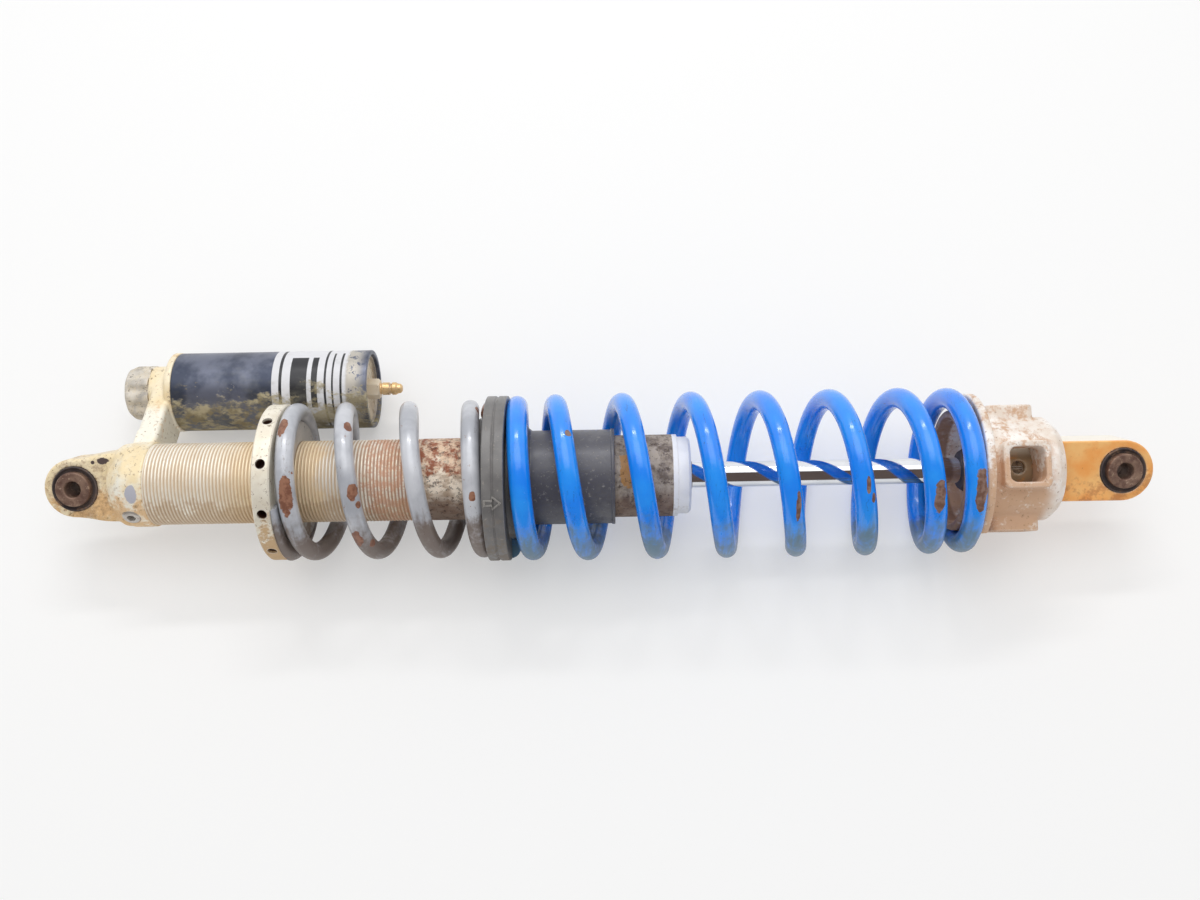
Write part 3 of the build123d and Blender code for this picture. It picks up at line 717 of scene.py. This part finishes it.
def paintedSpringMaterial(name, look):
    # paint with chips down to rust, scratches, and grime on the lower side
    material, shader, place = startMaterial(name, metallic=look["metallic"], roughness=look["roughness"])
    color = mixed(between(cloudy(place, 40.0), 0.3, 0.7), look["paint"], look["paintVaried"])
    low = lowSide(place, look["grimeStart"], look["grimeEnd"], 0.02)
    cover = ranged(low, 0.08, look["grimeCover"])
    along = alongWire(place)
    streaks = speckled(along, 90.0, cover, 0.10)
    blotches = speckled(place, 60.0, cover, 0.12)
    grime = blended(0.45, streaks, blotches)
    color = coated(color, grime, look["grimeStrength"], look["grime"])
    chips = speckled(place, 150.0, look["chipCover"], 0.012)
    for centre, reach in look["bareSpots"]:
        spot = effect("patch", Vector=place, Centre=centre, Reach=reach)
        chips = either(chips, spot)
    clouds = between(cloudy(place, 300.0, 5.0), 0.4, 0.6)
    rustColor = mixed(clouds, look["bare"], look["bareVaried"])
    scratchPlace = stretched(along, (420.0, 420.0, 420.0))
    scratches = effect("scratches", Vector=scratchPlace, Width=0.010, Cover=look["scratchCover"])
    color = coated(color, scratches, 0.7, look["scratch"])
    color = mixed(chips, color, rustColor)
    dull = either(both(grime, 0.7), chips)
    rough = ranged(dull, look["roughness"], 0.78)
    metal = ranged(dull, look["metallic"], 0.0)
    wavy = cloudy(place, look["orangePeel"], 2.0)
    height = compute("SUBTRACT", wavy, chips)
    finishShader(shader, color, rough, height, 0.00016, 0.5, metal)
    setInputs(shader, {"Coat Weight": look["coat"], "Coat Roughness": 0.14})
    return material


bluePaint = {
    "paint": tone(4, 134, 252), "paintVaried": tone(26, 152, 255), "metallic": 0.0, "roughness": 0.27,
    "grime": tone(90, 116, 112), "grimeStart": 0.010, "grimeEnd": 0.050, "grimeCover": 0.72, "grimeStrength": 0.85,
    "chipCover": 0.15, "scratchCover": 0.54, "scratch": tone(20, 54, 104), "orangePeel": 350.0, "coat": 0.7,
    "bare": tone(110, 76, 62), "bareVaried": tone(140, 112, 100),
    "bareSpots": [((0.5210, -0.0310, 0.0408), (0.0034, 0.0120, 0.0100)),
                  ((0.5452, -0.0285, 0.0415), (0.0036, 0.0150, 0.0110)),
                  ((0.4390, -0.0345, 0.0375), (0.0016, 0.0090, 0.0075)),
                  ((0.3054, 0.0092, 0.0500), (0.0022, 0.0022, 0.0020)),
                  ((0.4792, -0.0248, 0.0455), (0.0012, 0.0060, 0.0040)),
                  ((0.4826, -0.0309, 0.0401), (0.0014, 0.0030, 0.0030))],
}
greyPaint = {
    "paint": tone(170, 173, 181), "paintVaried": tone(208, 210, 216), "metallic": 0.1, "roughness": 0.32,
    "grime": tone(108, 90, 78), "grimeStart": 0.006, "grimeEnd": 0.042, "grimeCover": 0.78, "grimeStrength": 0.92,
    "chipCover": 0.25, "scratchCover": 0.44, "scratch": tone(96, 72, 58), "orangePeel": 420.0, "coat": 0.5,
    "bare": tone(122, 76, 56), "bareVaried": tone(150, 104, 80),
    "bareSpots": [((0.1398, -0.0245, 0.0424), (0.0036, 0.0130, 0.0110)),
                  ((0.1352, 0.0183, 0.0453), (0.0030, 0.0075, 0.0065)),
                  ((0.1743, 0.0179, 0.0444), (0.0026, 0.0040, 0.0035)),
                  ((0.1793, -0.0225, 0.0426), (0.0030, 0.0055, 0.0050)),
                  ((0.1820, -0.0286, 0.0368), (0.0022, 0.0022, 0.0022)),
                  ((0.1785, -0.0447, 0.0197), (0.0038, 0.0060, 0.0070)),
                  ((0.1864, -0.0444, 0.0118), (0.0024, 0.0024, 0.0030)),
                  ((0.2490, -0.0262, 0.0415), (0.0020, 0.0026, 0.0030)),
                  ((0.2528, 0.0329, 0.0334), (0.0045, 0.0060, 0.0060))],
}


# Reservoir, with a plain striped band where a label would be
reservoir = {
    "segments": 160,
    "bandStart": 0.066,        # from the reservoir's start
    "bandEnd": 0.115,
    "bandHalfTurn": 1.75,      # radians each way from the top
    "top": 1.75,               # radians from +Y to the middle of the band
    "sharp": 0.0002,           # width of a stripe's edge
    # each stripe: start and end in shares of the band, and half its turn in radians
    "stripes": [(0.09, 0.13, 3.2), (0.24, 0.46, 0.70), (0.52, 0.60, 0.70), (0.69, 0.72, 3.2),
                (0.79, 0.815, 0.9), (0.90, 0.93, 0.9)],
    "wall": 0.003,
    "rounding": 0.0008,
}


def makeReservoir():
    start, end = span("reservoir_tube")
    radius = (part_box("reservoir_tube")[1].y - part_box("reservoir_tube")[0].y) / 2
    bore = radius - reservoir["wall"]
    profile = softened([(start, radius), (end, radius), (end, bore), (start, bore)], reservoir["rounding"])
    points = turned(profile, reservoir["segments"], centreOfReservoir)
    return meshFromGrid("dressedReservoir", points, ringClosed=True)


def reservoirMaterial():
    material, shader, place = startMaterial("muddyBlackAnodising", metallic=0.35, roughness=0.36)
    local = vectorMath("SUBTRACT", place, (0, *centreOfReservoir))
    parts = put("SeparateXYZ", {0: local}).outputs
    along = compute("SUBTRACT", parts["X"], span("reservoir_tube")[0])
    angle = compute("ARCTAN2", parts["Z"], parts["Y"])
    fromTop = compute("ABSOLUTE", compute("SUBTRACT", angle, reservoir["top"]))
    black = mixed(between(cloudy(place, 50.0), 0.35, 0.65), tone(62, 69, 88), tone(112, 117, 134))
    # band with plain stripes in it, some of them all the way round and some short
    first, last, sharp = (reservoir[key] for key in ("bandStart", "bandEnd", "sharp"))
    halfTurn, length = reservoir["bandHalfTurn"], last - first
    inBand = window(along, first - sharp, first, last - sharp, last)
    inBand = both(inBand, between(fromTop, halfTurn + 0.01, halfTurn))
    stripes = 0.0
    for start, end, reach in reservoir["stripes"]:
        low, high = first + start * length, first + end * length
        stripe = window(along, low, low + sharp, high, high + sharp)
        stripe = both(stripe, between(fromTop, reach + 0.008, reach))
        stripes = either(stripe, stripes)
    band = mixed(stripes, tone(226, 226, 230), tone(34, 34, 40))
    chips = speckled(place, 110.0, 0.24, 0.012)
    nearEnd = window(along, last - 0.002, last, last + 0.004, last + 0.012)
    endChips = speckled(place, 170.0, 0.62, 0.012)
    chips = either(chips, both(nearEnd, endChips))
    color = mixed(inBand, black, band)
    color = mixed(chips, color, tone(196, 190, 180))
    # dried mud lies low down and on the side towards the body
    low = lowSide(local, -0.012, 0.016, 0.024)
    cover = ranged(low, 0.18, 0.56)
    streakPlace = stretched(place, (0.6, 1.0, 1.0))
    mud = speckled(streakPlace, 110.0, cover, 0.06)
    haze = speckled(streakPlace, 60.0, cover, 0.16)
    color = coated(color, haze, 0.45, tone(120, 120, 108))
    clouds = between(cloudy(place, 130.0), 0.4, 0.6)
    mudColor = mixed(clouds, tone(148, 136, 104), tone(192, 180, 146))
    color = coated(color, mud, 0.85, mudColor)
    edge = worn(place, 0.0009, 0.8)
    color = mixed(edge, color, tone(190, 178, 158))
    dull = either(mud, both(chips, 0.3))
    rough = ranged(dull, 0.34, 0.88)
    metal = ranged(either(mud, inBand), 0.4, 0.0)
    height = both(mud, cloudy(place, 420.0, 5.0))
    finishShader(shader, color, rough, height, 0.0006, 0.6, metal)
    return material


def insideHoles(place):
    # in the collar's spanner holes: under the rim's radius and away from the collar's two faces
    start, end = span("preload_collar")
    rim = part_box("preload_collar")[1].y
    station = part(place, "X")
    radius = fromAxis(place)
    fromMiddle = compute("SUBTRACT", station, (start + end) / 2)
    fromMiddle = compute("ABSOLUTE", fromMiddle)
    return both(between(radius, rim - 0.0008, rim - 0.0022), between(fromMiddle, 0.0036, 0.0032))


# Plain finishes: a varied colour, dirt on the lower side, worn edges and a fine grain
def finish(color, varied, metallic, roughness, **rest):
    # colours on screen from 0 to 255, and the usual value of whatever isn't given
    usual = {"cloudScale": 60.0, "dirtColor": (112, 84, 62), "dirtStart": 0.0, "dirtEnd": 0.04, "dirtHigh": 0.15,
             "dirtLow": 0.6, "dirtScale": 110.0, "dirtStrength": 0.7, "specks": 0.22, "speckColor": (66, 34, 26),
             "edgeRadius": 0.0008, "wear": 0.6, "edgeColor": (232, 226, 216), "grainScale": 800.0,
             "grainDepth": 0.0002, "zones": []}
    return {"color": color, "varied": varied, "metallic": metallic, "roughness": roughness, **usual, **rest}


def plainMaterial(name, look):
    material, shader, place = startMaterial(name, metallic=look["metallic"], roughness=look["roughness"])
    station = part(place, "X")
    clouds = between(cloudy(place, look["cloudScale"], 5.0), 0.32, 0.68)
    color = mixed(clouds, tone(*look["color"]), tone(*look["varied"]))
    low = lowSide(place, look["dirtStart"], look["dirtEnd"], 0.02)
    cover = ranged(low, look["dirtHigh"], look["dirtLow"])
    stains = speckled(place, look["dirtScale"], cover, 0.07)
    if "cleaner" in look:
        # the dirt thins out between two stations
        stains = both(stains, between(station, *look["cleaner"], 1.0, 0.2))
    stains = both(stains, look["dirtStrength"])
    color = mixed(stains, color, tone(*look["dirtColor"]))
    for first, last, zoneColor, strength in look["zones"]:
        # a colour of its own between two stations
        zone = window(station, first, first + 0.002, last, last + 0.002)
        uneven = between(cloudy(place, 120.0, 5.0, 0.65), 0.30, 0.52, 0.45, 1.0)
        zone = both(zone, both(uneven, strength))
        color = mixed(zone, color, tone(*zoneColor))
    if "paleSide" in look:
        # faces that look this way, up towards the lamps, are painted pale: a painted highlight
        normal = put("NewGeometry").outputs["Normal"]
        facing = vectorValue("DOT_PRODUCT", normal, look["paleSide"])
        color = mixed(between(facing, 0.55, 0.9), color, tone(*look["edgeColor"]))
    specks = speckled(place, 380.0, look["specks"], 0.02)
    color = coated(color, specks, 0.7, tone(*look["speckColor"]))
    edge = worn(place, look["edgeRadius"], look["wear"])
    color = mixed(edge, color, tone(*look["edgeColor"]))
    # the spanner holes' insides are painted dark brown: painted shade
    if "hollow" in look:
        color = mixed(insideHoles(place), color, tone(84, 52, 40))
    dull = either(stains, specks)
    rough = ranged(dull, look["roughness"], 0.85)
    metal = ranged(dull, look["metallic"], 0.0)
    height = blended(0.4, cloudy(place, look["grainScale"], 3.0), specks)
    finishShader(shader, color, rough, height, look["grainDepth"], 0.45, metal)
    return material


plainLooks = {
    "wornCollar": finish((234, 225, 206), (248, 242, 226), 0.3, 0.42, cloudScale=120.0, dirtLow=0.80,
                         dirtHigh=0.22, dirtStart=0.012, dirtEnd=0.046, dirtColor=(196, 158, 108),
                         dirtStrength=0.85, specks=0.34, speckColor=(130, 100, 76), wear=0.85, hollow=True),
    "whiteAluminium": finish((196, 193, 190), (218, 215, 211), 0.35, 0.45, dirtColor=(150, 126, 104), specks=0.3),
    "charcoalPlastic": finish((104, 102, 102), (124, 122, 121), 0.0, 0.36,
                              zones=[(0.2685, 0.34, (90, 89, 94), 1.0)], edgeRadius=0.0006,
                              dirtColor=(128, 116, 104), dirtLow=0.50, dirtEnd=0.05, dirtHigh=0.22, specks=0.34,
                              speckColor=(158, 152, 144), wear=0.85, edgeColor=(180, 176, 170),
                              grainDepth=0.00008),
    "bareSilver": finish((244, 243, 242), (255, 254, 252), 0.0, 0.42, dirtColor=(190, 178, 166), dirtLow=0.45,
                         dirtEnd=0.03, specks=0.2, speckColor=(160, 148, 136)),
    "castSeat": finish((236, 222, 208), (254, 250, 246), 0.05, 0.5, cloudScale=75.0, dirtColor=(206, 162, 124),
                       dirtStart=-0.030, dirtEnd=0.024, dirtLow=0.72, dirtHigh=0.42, dirtScale=90.0,
                       dirtStrength=0.85, specks=0.33, speckColor=(160, 122, 92), edgeRadius=0.0018, wear=0.95,
                       edgeColor=(254, 250, 246), grainDepth=0.0004, grainScale=500.0, cleaner=(0.588, 0.598),
                       zones=[(0.530, 0.5480, (164, 124, 98), 0.9)]),
    "orangeGold": finish((250, 170, 90), (255, 202, 130), 0.1, 0.34, cloudScale=65.0, dirtColor=(186, 118, 66),
                         dirtStart=-0.012, dirtEnd=0.020, dirtLow=0.50, dirtHigh=0.24, dirtScale=90.0, specks=0.24,
                         speckColor=(150, 98, 58), edgeRadius=0.0018, wear=1.0, edgeColor=(253, 247, 234),
                         # the faces towards the lamps carry a painted highlight
                         grainDepth=0.0001, paleSide=(0.0, 0.875, 0.485),
                         zones=[(0.55, 0.5925, (172, 152, 124), 0.95)]),
    "rustySleeve": finish((104, 76, 66), (150, 122, 104), 0.3, 0.55, cloudScale=140.0, dirtColor=(78, 46, 36),
                          dirtLow=0.55, dirtHigh=0.4, specks=0.35, speckColor=(186, 160, 138), wear=0.7,
                          edgeColor=(178, 156, 140)),
    "agedRubber": finish((54, 48, 52), (92, 80, 76), 0.0, 0.75, dirtColor=(150, 118, 92), dirtLow=0.5,
                         dirtHigh=0.36, specks=0.22, speckColor=(176, 150, 124), wear=0.3,
                         edgeColor=(128, 112, 100)),
    "turnedBrass": finish((226, 184, 124), (246, 214, 164), 0.5, 0.34, dirtColor=(120, 88, 54), dirtLow=0.5,
                          dirtHigh=0.34, specks=0.3, speckColor=(110, 80, 48)),
    "dirtyKnob": finish((174, 168, 160), (228, 221, 210), 0.0, 0.6, cloudScale=110.0, dirtColor=(226, 214, 192),
                        dirtLow=0.60, dirtHigh=0.50, dirtScale=190.0, specks=0.36, speckColor=(72, 68, 68),
                        wear=0.7, edgeColor=(232, 224, 212)),
    "dustyHexagon": finish((216, 198, 172), (236, 224, 202), 0.2, 0.5, dirtColor=(150, 120, 90), dirtLow=0.6,
                           dirtHigh=0.35, specks=0.25),
    "plainSteel": finish((178, 172, 166), (210, 204, 196), 0.5, 0.4, dirtColor=(120, 62, 38), dirtLow=0.4,
                         dirtHigh=0.28, specks=0.25),
    "brownSteel": finish((110, 92, 78), (160, 140, 116), 0.2, 0.6, dirtColor=(60, 44, 36), dirtLow=0.6,
                         dirtHigh=0.45, specks=0.4),
    "bearingBand": finish((92, 66, 46), (116, 84, 58), 0.1, 0.6, specks=0.1, wear=0.2),
    "capSilver": finish((196, 178, 150), (232, 220, 196), 0.35, 0.42, dirtColor=(150, 122, 86), dirtLow=0.55,
                        dirtHigh=0.42, specks=0.3),
}


def chromeMaterial():
    # bright hard chrome with the fine turning marks of a ground shaft
    material, shader, place = startMaterial("hardChrome", metallic=1.0, roughness=0.07)
    color = mixed(between(cloudy(place, 70.0), 0.3, 0.7), tone(222, 226, 232), tone(236, 238, 242))
    rings = cloudy(stretched(place, (4000.0, 30.0, 30.0)), 1.0, 2.0)
    smears = speckled(place, 90.0, 0.25, 0.15)
    rough = ranged(smears, 0.06, 0.22)
    finishShader(shader, color, rough, rings, 0.00001, 0.2)
    return material


# Shaft, turned with its thinner inner end
shaftForm = {"radius": 0.0079375, "spigot": 0.006, "bore": 0.0028, "rounding": 0.0004}


def makeShaft():
    start, end = span("shaft")
    shoulder = span("top_out_bumper")[0]
    outline = [(start, shaftForm["spigot"]), (shoulder, shaftForm["spigot"]), (shoulder, shaftForm["radius"]),
               (end, shaftForm["radius"]), (end, shaftForm["bore"]), (start, shaftForm["bore"])]
    return meshFromGrid("dressedShaft", turned(softened(outline, shaftForm["rounding"]), 96), ringClosed=True)


# Crossover ring: rim with a parting groove, a shoulder for each spring and a long guide sleeve
crossover = {
    "lead": 0.0060, "width": 0.0128, "shoulder": 0.0120, "shoulderRadius": 0.0377, "sleeveRadius": 0.0293,
    "bore": 0.02556, "groove": 0.0010, "corner": 0.0012, "slope": 0.0030, "fillet": (0.0022, 0.0020),
    "lip": 0.0005, "lipLength": 0.0022, "lipRise": 0.0004, "softness": 0.0007,
}
arrow = {"start": 0.0012, "end": 0.0112, "neck": 0.0062, "half": 0.0042, "shaftHalf": 0.0017, "height": 0.00065,
         "sink": 0.0006, "line": 0.0008, "angle": 126.5}


def makeCrossover():
    start, end = span("crossover_ring")
    form, rim = crossover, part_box("crossover_ring")[1].y
    left = start + form["lead"]
    right = left + form["width"]
    middle, flank = (left + right) / 2, right + form["shoulder"]
    shoulder, sleeve, groove, corner = (form[key] for key in ("shoulderRadius", "sleeveRadius", "groove", "corner"))
    lip, lipStart = sleeve + form["lip"], end - form["lipLength"]
    outline = [(start, shoulder - corner), (start + corner, shoulder), (left, shoulder), (left, rim),
               (middle - groove, rim), (middle, rim - groove), (middle + groove, rim), (right, rim),
               (right, shoulder), (flank - form["slope"], shoulder), (flank, sleeve + form["fillet"][1]),
               (flank + form["fillet"][0], sleeve), (lipStart, sleeve), (lipStart + form["lipRise"], lip), (end, lip),
               (end, form["bore"]), (start, form["bore"])]
    points = turned(softened(outline, form["softness"]), 192)
    return meshFromGrid("dressedCrossover", points, ringClosed=True, sharpAngle=50)


def arrowPoints():
    # a band round a plain arrow outline, laid on the rim: angle = centre - across / radius, and its
    # rows stand the arrow's height above the rim and just under it
    start = span("crossover_ring")[0] + crossover["lead"]
    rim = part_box("crossover_ring")[1].y
    a = arrow
    below = [(a["start"], -a["shaftHalf"]), (a["neck"], -a["shaftHalf"]), (a["neck"], -a["half"])]
    corners = np.array(below + [(a["end"], 0)] + [(x, -y) for x, y in below[::-1]])
    middle = corners.mean(axis=0)
    inner = corners + (middle - corners) / np.linalg.norm(middle - corners, axis=1, keepdims=True) * a["line"]
    low, high = rim - a["sink"], rim + a["height"]
    rows = []
    for flat, radius in ((corners, low), (corners, high), (inner, high), (inner, low)):
        angle = radians(a["angle"]) - flat[:, 1] / rim
        rows.append(np.stack([start + flat[:, 0], radius * np.cos(angle), radius * np.sin(angle)], axis=1))
    return np.stack(rows)


# Knob: broad flutes that fade towards a rounded outer end
knobForm = {"flutes": 10, "depth": 0.0022, "fade": 5, "rounding": 0.0034, "roundedShare": 3.2, "columns": 240,
            "rows": 40, "length": 0.016, "dish": 0.0012, "dishRim": 0.0120, "dishRadius": 0.0112, "hole": 0.0034,
            "neck": 0.0090}


def makeKnob():
    # radius = full radius (1 - cap) - flute depth times a raised cosine of the angle, and the outer
    # end is rounded as a quarter ellipse
    low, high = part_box("compression_knob")
    form, start, full = knobForm, low.x, (high.y - low.y) / 2
    length, rounding, dish = form["length"], form["rounding"], low.x + form["dish"]
    t = np.linspace(0, 1, form["rows"])[:, None]
    angle = np.linspace(0, 2 * pi, form["columns"], endpoint=False)[None, :]
    flute = ((1 + np.cos(form["flutes"] * angle)) / 2) ** 1.5
    curve = np.clip(1 - t * form["roundedShare"], 0, 1)
    r = full - rounding * (1 - np.sqrt(np.clip(1 - curve ** 2, 0, 1)))
    r = r - form["depth"] * flute * np.clip(t * form["fade"], 0, 1)
    side = np.stack([start + length * t + 0 * angle, r * np.cos(angle), r * np.sin(angle)], axis=-1)
    rings = [(dish, form["hole"]), (dish, form["dishRadius"]), (start + 0.0004, form["dishRim"]),
             (start, full - rounding - 0.001)]
    face = turned(rings, form["columns"])
    back = turned([(start + length, form["neck"])], form["columns"])
    points = np.concatenate([face, side, back])
    points[..., 1:] += centreOfReservoir
    return meshFromGrid("dressedKnob", points, sharpAngle=40)


# Gas valve: a hexagon with chamfered corners and a turned stem with a groove and a round tip
valveForm = {
    "flats": 0.012, "fromCap": 0.007, "length": 0.0084, "chamfer": 0.0012, "columns": 72, "overlap": 0.0004,
    # the stem's outline: from the hexagon, and radius
    "stem": [(0, 0.003612), (0.0016, 0.003612), (0.0020, 0.0042), (0.0066, 0.0042), (0.0070, 0.0034),
             (0.0080, 0.0034), (0.0084, 0.0042), (0.0108, 0.0042), (0.0120, 0.00336), (0.01395, 0.003108),
             (0.015, 0.00189)],
}


def makeValve():
    start = span("gas_valve")[0] + valveForm["fromCap"]
    end, half = start + valveForm["length"], valveForm["flats"] / 2
    corner = half / cos(pi / 6)
    angle = np.linspace(0, 2 * pi, valveForm["columns"], endpoint=False)
    flats = half / np.cos((angle + pi / 6) % (pi / 3) - pi / 6)
    rows = []
    for station, limit in ((start, corner), (end - valveForm["chamfer"], corner), (end, half * 0.98)):
        r = np.minimum(flats, limit)
        rows.append(np.stack([station + 0 * angle, r * np.cos(angle), r * np.sin(angle)], axis=1))
    points = np.stack(rows)
    points[..., 1:] += centreOfReservoir
    return meshFromGrid("dressedValve", points, sharpAngle=30)


def stemPoints():
    # the outline walked in even steps and turned
    outline = np.array(valveForm["stem"])
    outline[:, 0] += span("gas_valve")[0] + valveForm["fromCap"] + valveForm["length"] - valveForm["overlap"]
    walked = np.concatenate([[0], np.cumsum(np.linalg.norm(np.diff(outline, axis=0), axis=1))])
    steps = np.linspace(0, walked[-1], 60)
    return turned(np.stack([np.interp(steps, walked, outline[:, k]) for k in (0, 1)], axis=1), 64, centreOfReservoir)


# Eyes: a steel sleeve with a worn rim, and rubber with a raised lip each side
sleeveForm = {"radius": 0.0107, "bore": 0.0051, "length": 0.033, "chamfer": 0.0006, "rounding": 0.0011}
rubberForm = {"outer": 0.01398, "inner": 0.01076, "half": 0.0135, "dip": 0.0014, "ease": 0.0002,
              "chamfer": (0.0006, 0.0008), "rounding": 0.0005}


def atEye(name, outline, rounding, station, sharpAngle):
    # a softened outline turned about the eye's own axis
    points = alongAxis(turned(softened(outline, rounding), 96), (station, 0, 0), eyeAxis)
    return meshFromGrid(name, points, ringClosed=True, sharpAngle=sharpAngle)


def makeSleeve(name, station):
    half, r, bore, chamfer = sleeveForm["length"] / 2, sleeveForm["radius"], sleeveForm["bore"], sleeveForm["chamfer"]
    outline = [(-half, r), (half, r), (half, bore + chamfer), (half - chamfer, bore), (chamfer - half, bore),
               (-half, bore + chamfer)]
    return atEye(name, outline, sleeveForm["rounding"], station, 50)


def makeRubber(name, station):
    outer, inner, half, dip, ease = (rubberForm[key] for key in ("outer", "inner", "half", "dip", "ease"))
    inset, drop = rubberForm["chamfer"]
    side = [(half - inset, outer), (half, outer - drop), (half - dip, (outer + inner) / 2 - ease),
            (half - dip * 1.3, inner + ease), (half - dip * 1.3, inner)]
    return atEye(name, side + [(-x, r) for x, r in side[::-1]], rubberForm["rounding"], station, 60)


# Build the pieces and give out the finishes
print("scene: materials")
materials = {name: plainMaterial(name, look) for name, look in plainLooks.items()}
materials["sunBleachedGold"] = headMaterial()
materials["grimyThreadedTube"] = bodyMaterial()
materials["muddyBlack"] = reservoirMaterial()
materials["hardChrome"] = chromeMaterial()
materials["bluePaint"] = paintedSpringMaterial("bluePaint", bluePaint)
materials["greyPaint"] = paintedSpringMaterial("greyPaint", greyPaint)

print("scene: head and damper body")
dress(flareEyePlate(recast("dressedHead", "head_with_upper_eye", **headCasting)), materials["sunBleachedGold"],
      "damper_body", "head_with_upper_eye")
dress(makeThreadedBody(), materials["grimyThreadedTube"], "damper_body", "body_tube")
dress(makeReservoir(), materials["muddyBlack"], "damper_body", "reservoir_tube")
dress(makeKnob(), materials["dirtyKnob"], "compression_dial", "compression_knob")
dress(makeValve(), materials["dustyHexagon"], "damper_body", "gas_valve")
dress(meshFromGrid("valveStem", stemPoints(), sharpAngle=45), materials["turnedBrass"], "damper_body", "gas_valve")
dress(makeSleeve("dressedUpperSleeve", eyeStations["upper"]), materials["rustySleeve"], "upper_sleeve_body",
      "upper_sleeve")
dress(makeRubber("dressedUpperRubber", eyeStations["upper"]), materials["agedRubber"], "damper_body",
      "upper_bushings")

print("scene: springs and crossover ring")
dress(addTo(makeCrossover(), arrowPoints(), "arrow", ringClosed=True), materials["charcoalPlastic"], "crossover",
      "crossover_ring")
mainStart, mainEnd = span("main_spring")
tenderStart, tenderEnd = span("tender_spring")
blueSpring = dress(makeSpring("dressedMainSpring", mainSpring, mainStart, mainEnd), materials["bluePaint"],
                   "crossover", "main_spring")
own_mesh(blueSpring)
greySpring = dress(makeSpring("dressedTenderSpring", tenderSpring, tenderStart, tenderEnd), materials["greyPaint"],
                   "tender_end", "tender_spring")
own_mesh(greySpring)

print("scene: lower end")
dress(recast("dressedSeat", "lower_spring_seat", voxel=0.0008, smoothing=4), materials["castSeat"], "shaft_assembly",
      "lower_spring_seat")
dress(recast("dressedLowerEye", "lower_eye", voxel=0.0006, smoothing=3), materials["orangeGold"], "shaft_assembly",
      "lower_eye")
dress(makeShaft(), materials["hardChrome"], "shaft_assembly", "shaft")
dress(makeSleeve("dressedLowerSleeve", eyeStations["lower"]), materials["rustySleeve"], "lower_sleeve_body",
      "lower_sleeve")
dress(makeRubber("dressedLowerRubber", eyeStations["lower"]), materials["agedRubber"], "shaft_assembly",
      "lower_bushings")

print("scene: finishes of the packed pieces")
nodesWith = {
    "plainSteel": "gallery_plug end_cap_ring compression_knob_screw compression_shims rebound_shims "
                  "shim_washers piston_nut bump_stop_washer",
    "agedRubber": "upper_bushings lower_bushings shaft_seal shaft_wiper top_out_bumper bump_stop",
    "rustySleeve": "upper_sleeve lower_sleeve",
    "capSilver": "reservoir_end_cap",
    "turnedBrass": "gas_valve gas_valve_core",
    "bareSilver": "floating_piston compression_cartridge seal_head rebound_rod piston",
    "bearingBand": "floating_piston_band piston_band",
    "dirtyKnob": "compression_knob",
    "wornCollar": "preload_collar",
    "whiteAluminium": "spring_locator",
    "charcoalPlastic": "crossover_ring",
    "hardChrome": "shaft",
    "brownSteel": "rebound_screw",
    "sunBleachedGold": "head_with_upper_eye",
    "grimyThreadedTube": "body_tube",
    "muddyBlack": "reservoir_tube",
    "bluePaint": "main_spring",
    "greyPaint": "tender_spring",
    "castSeat": "lower_spring_seat",
    "orangeGold": "lower_eye",
}
for finishName, names in nodesWith.items():
    for node in names.split():
        for slot in nodes[node].material_slots:
            slot.material = materials[finishName]

print("scene: done")
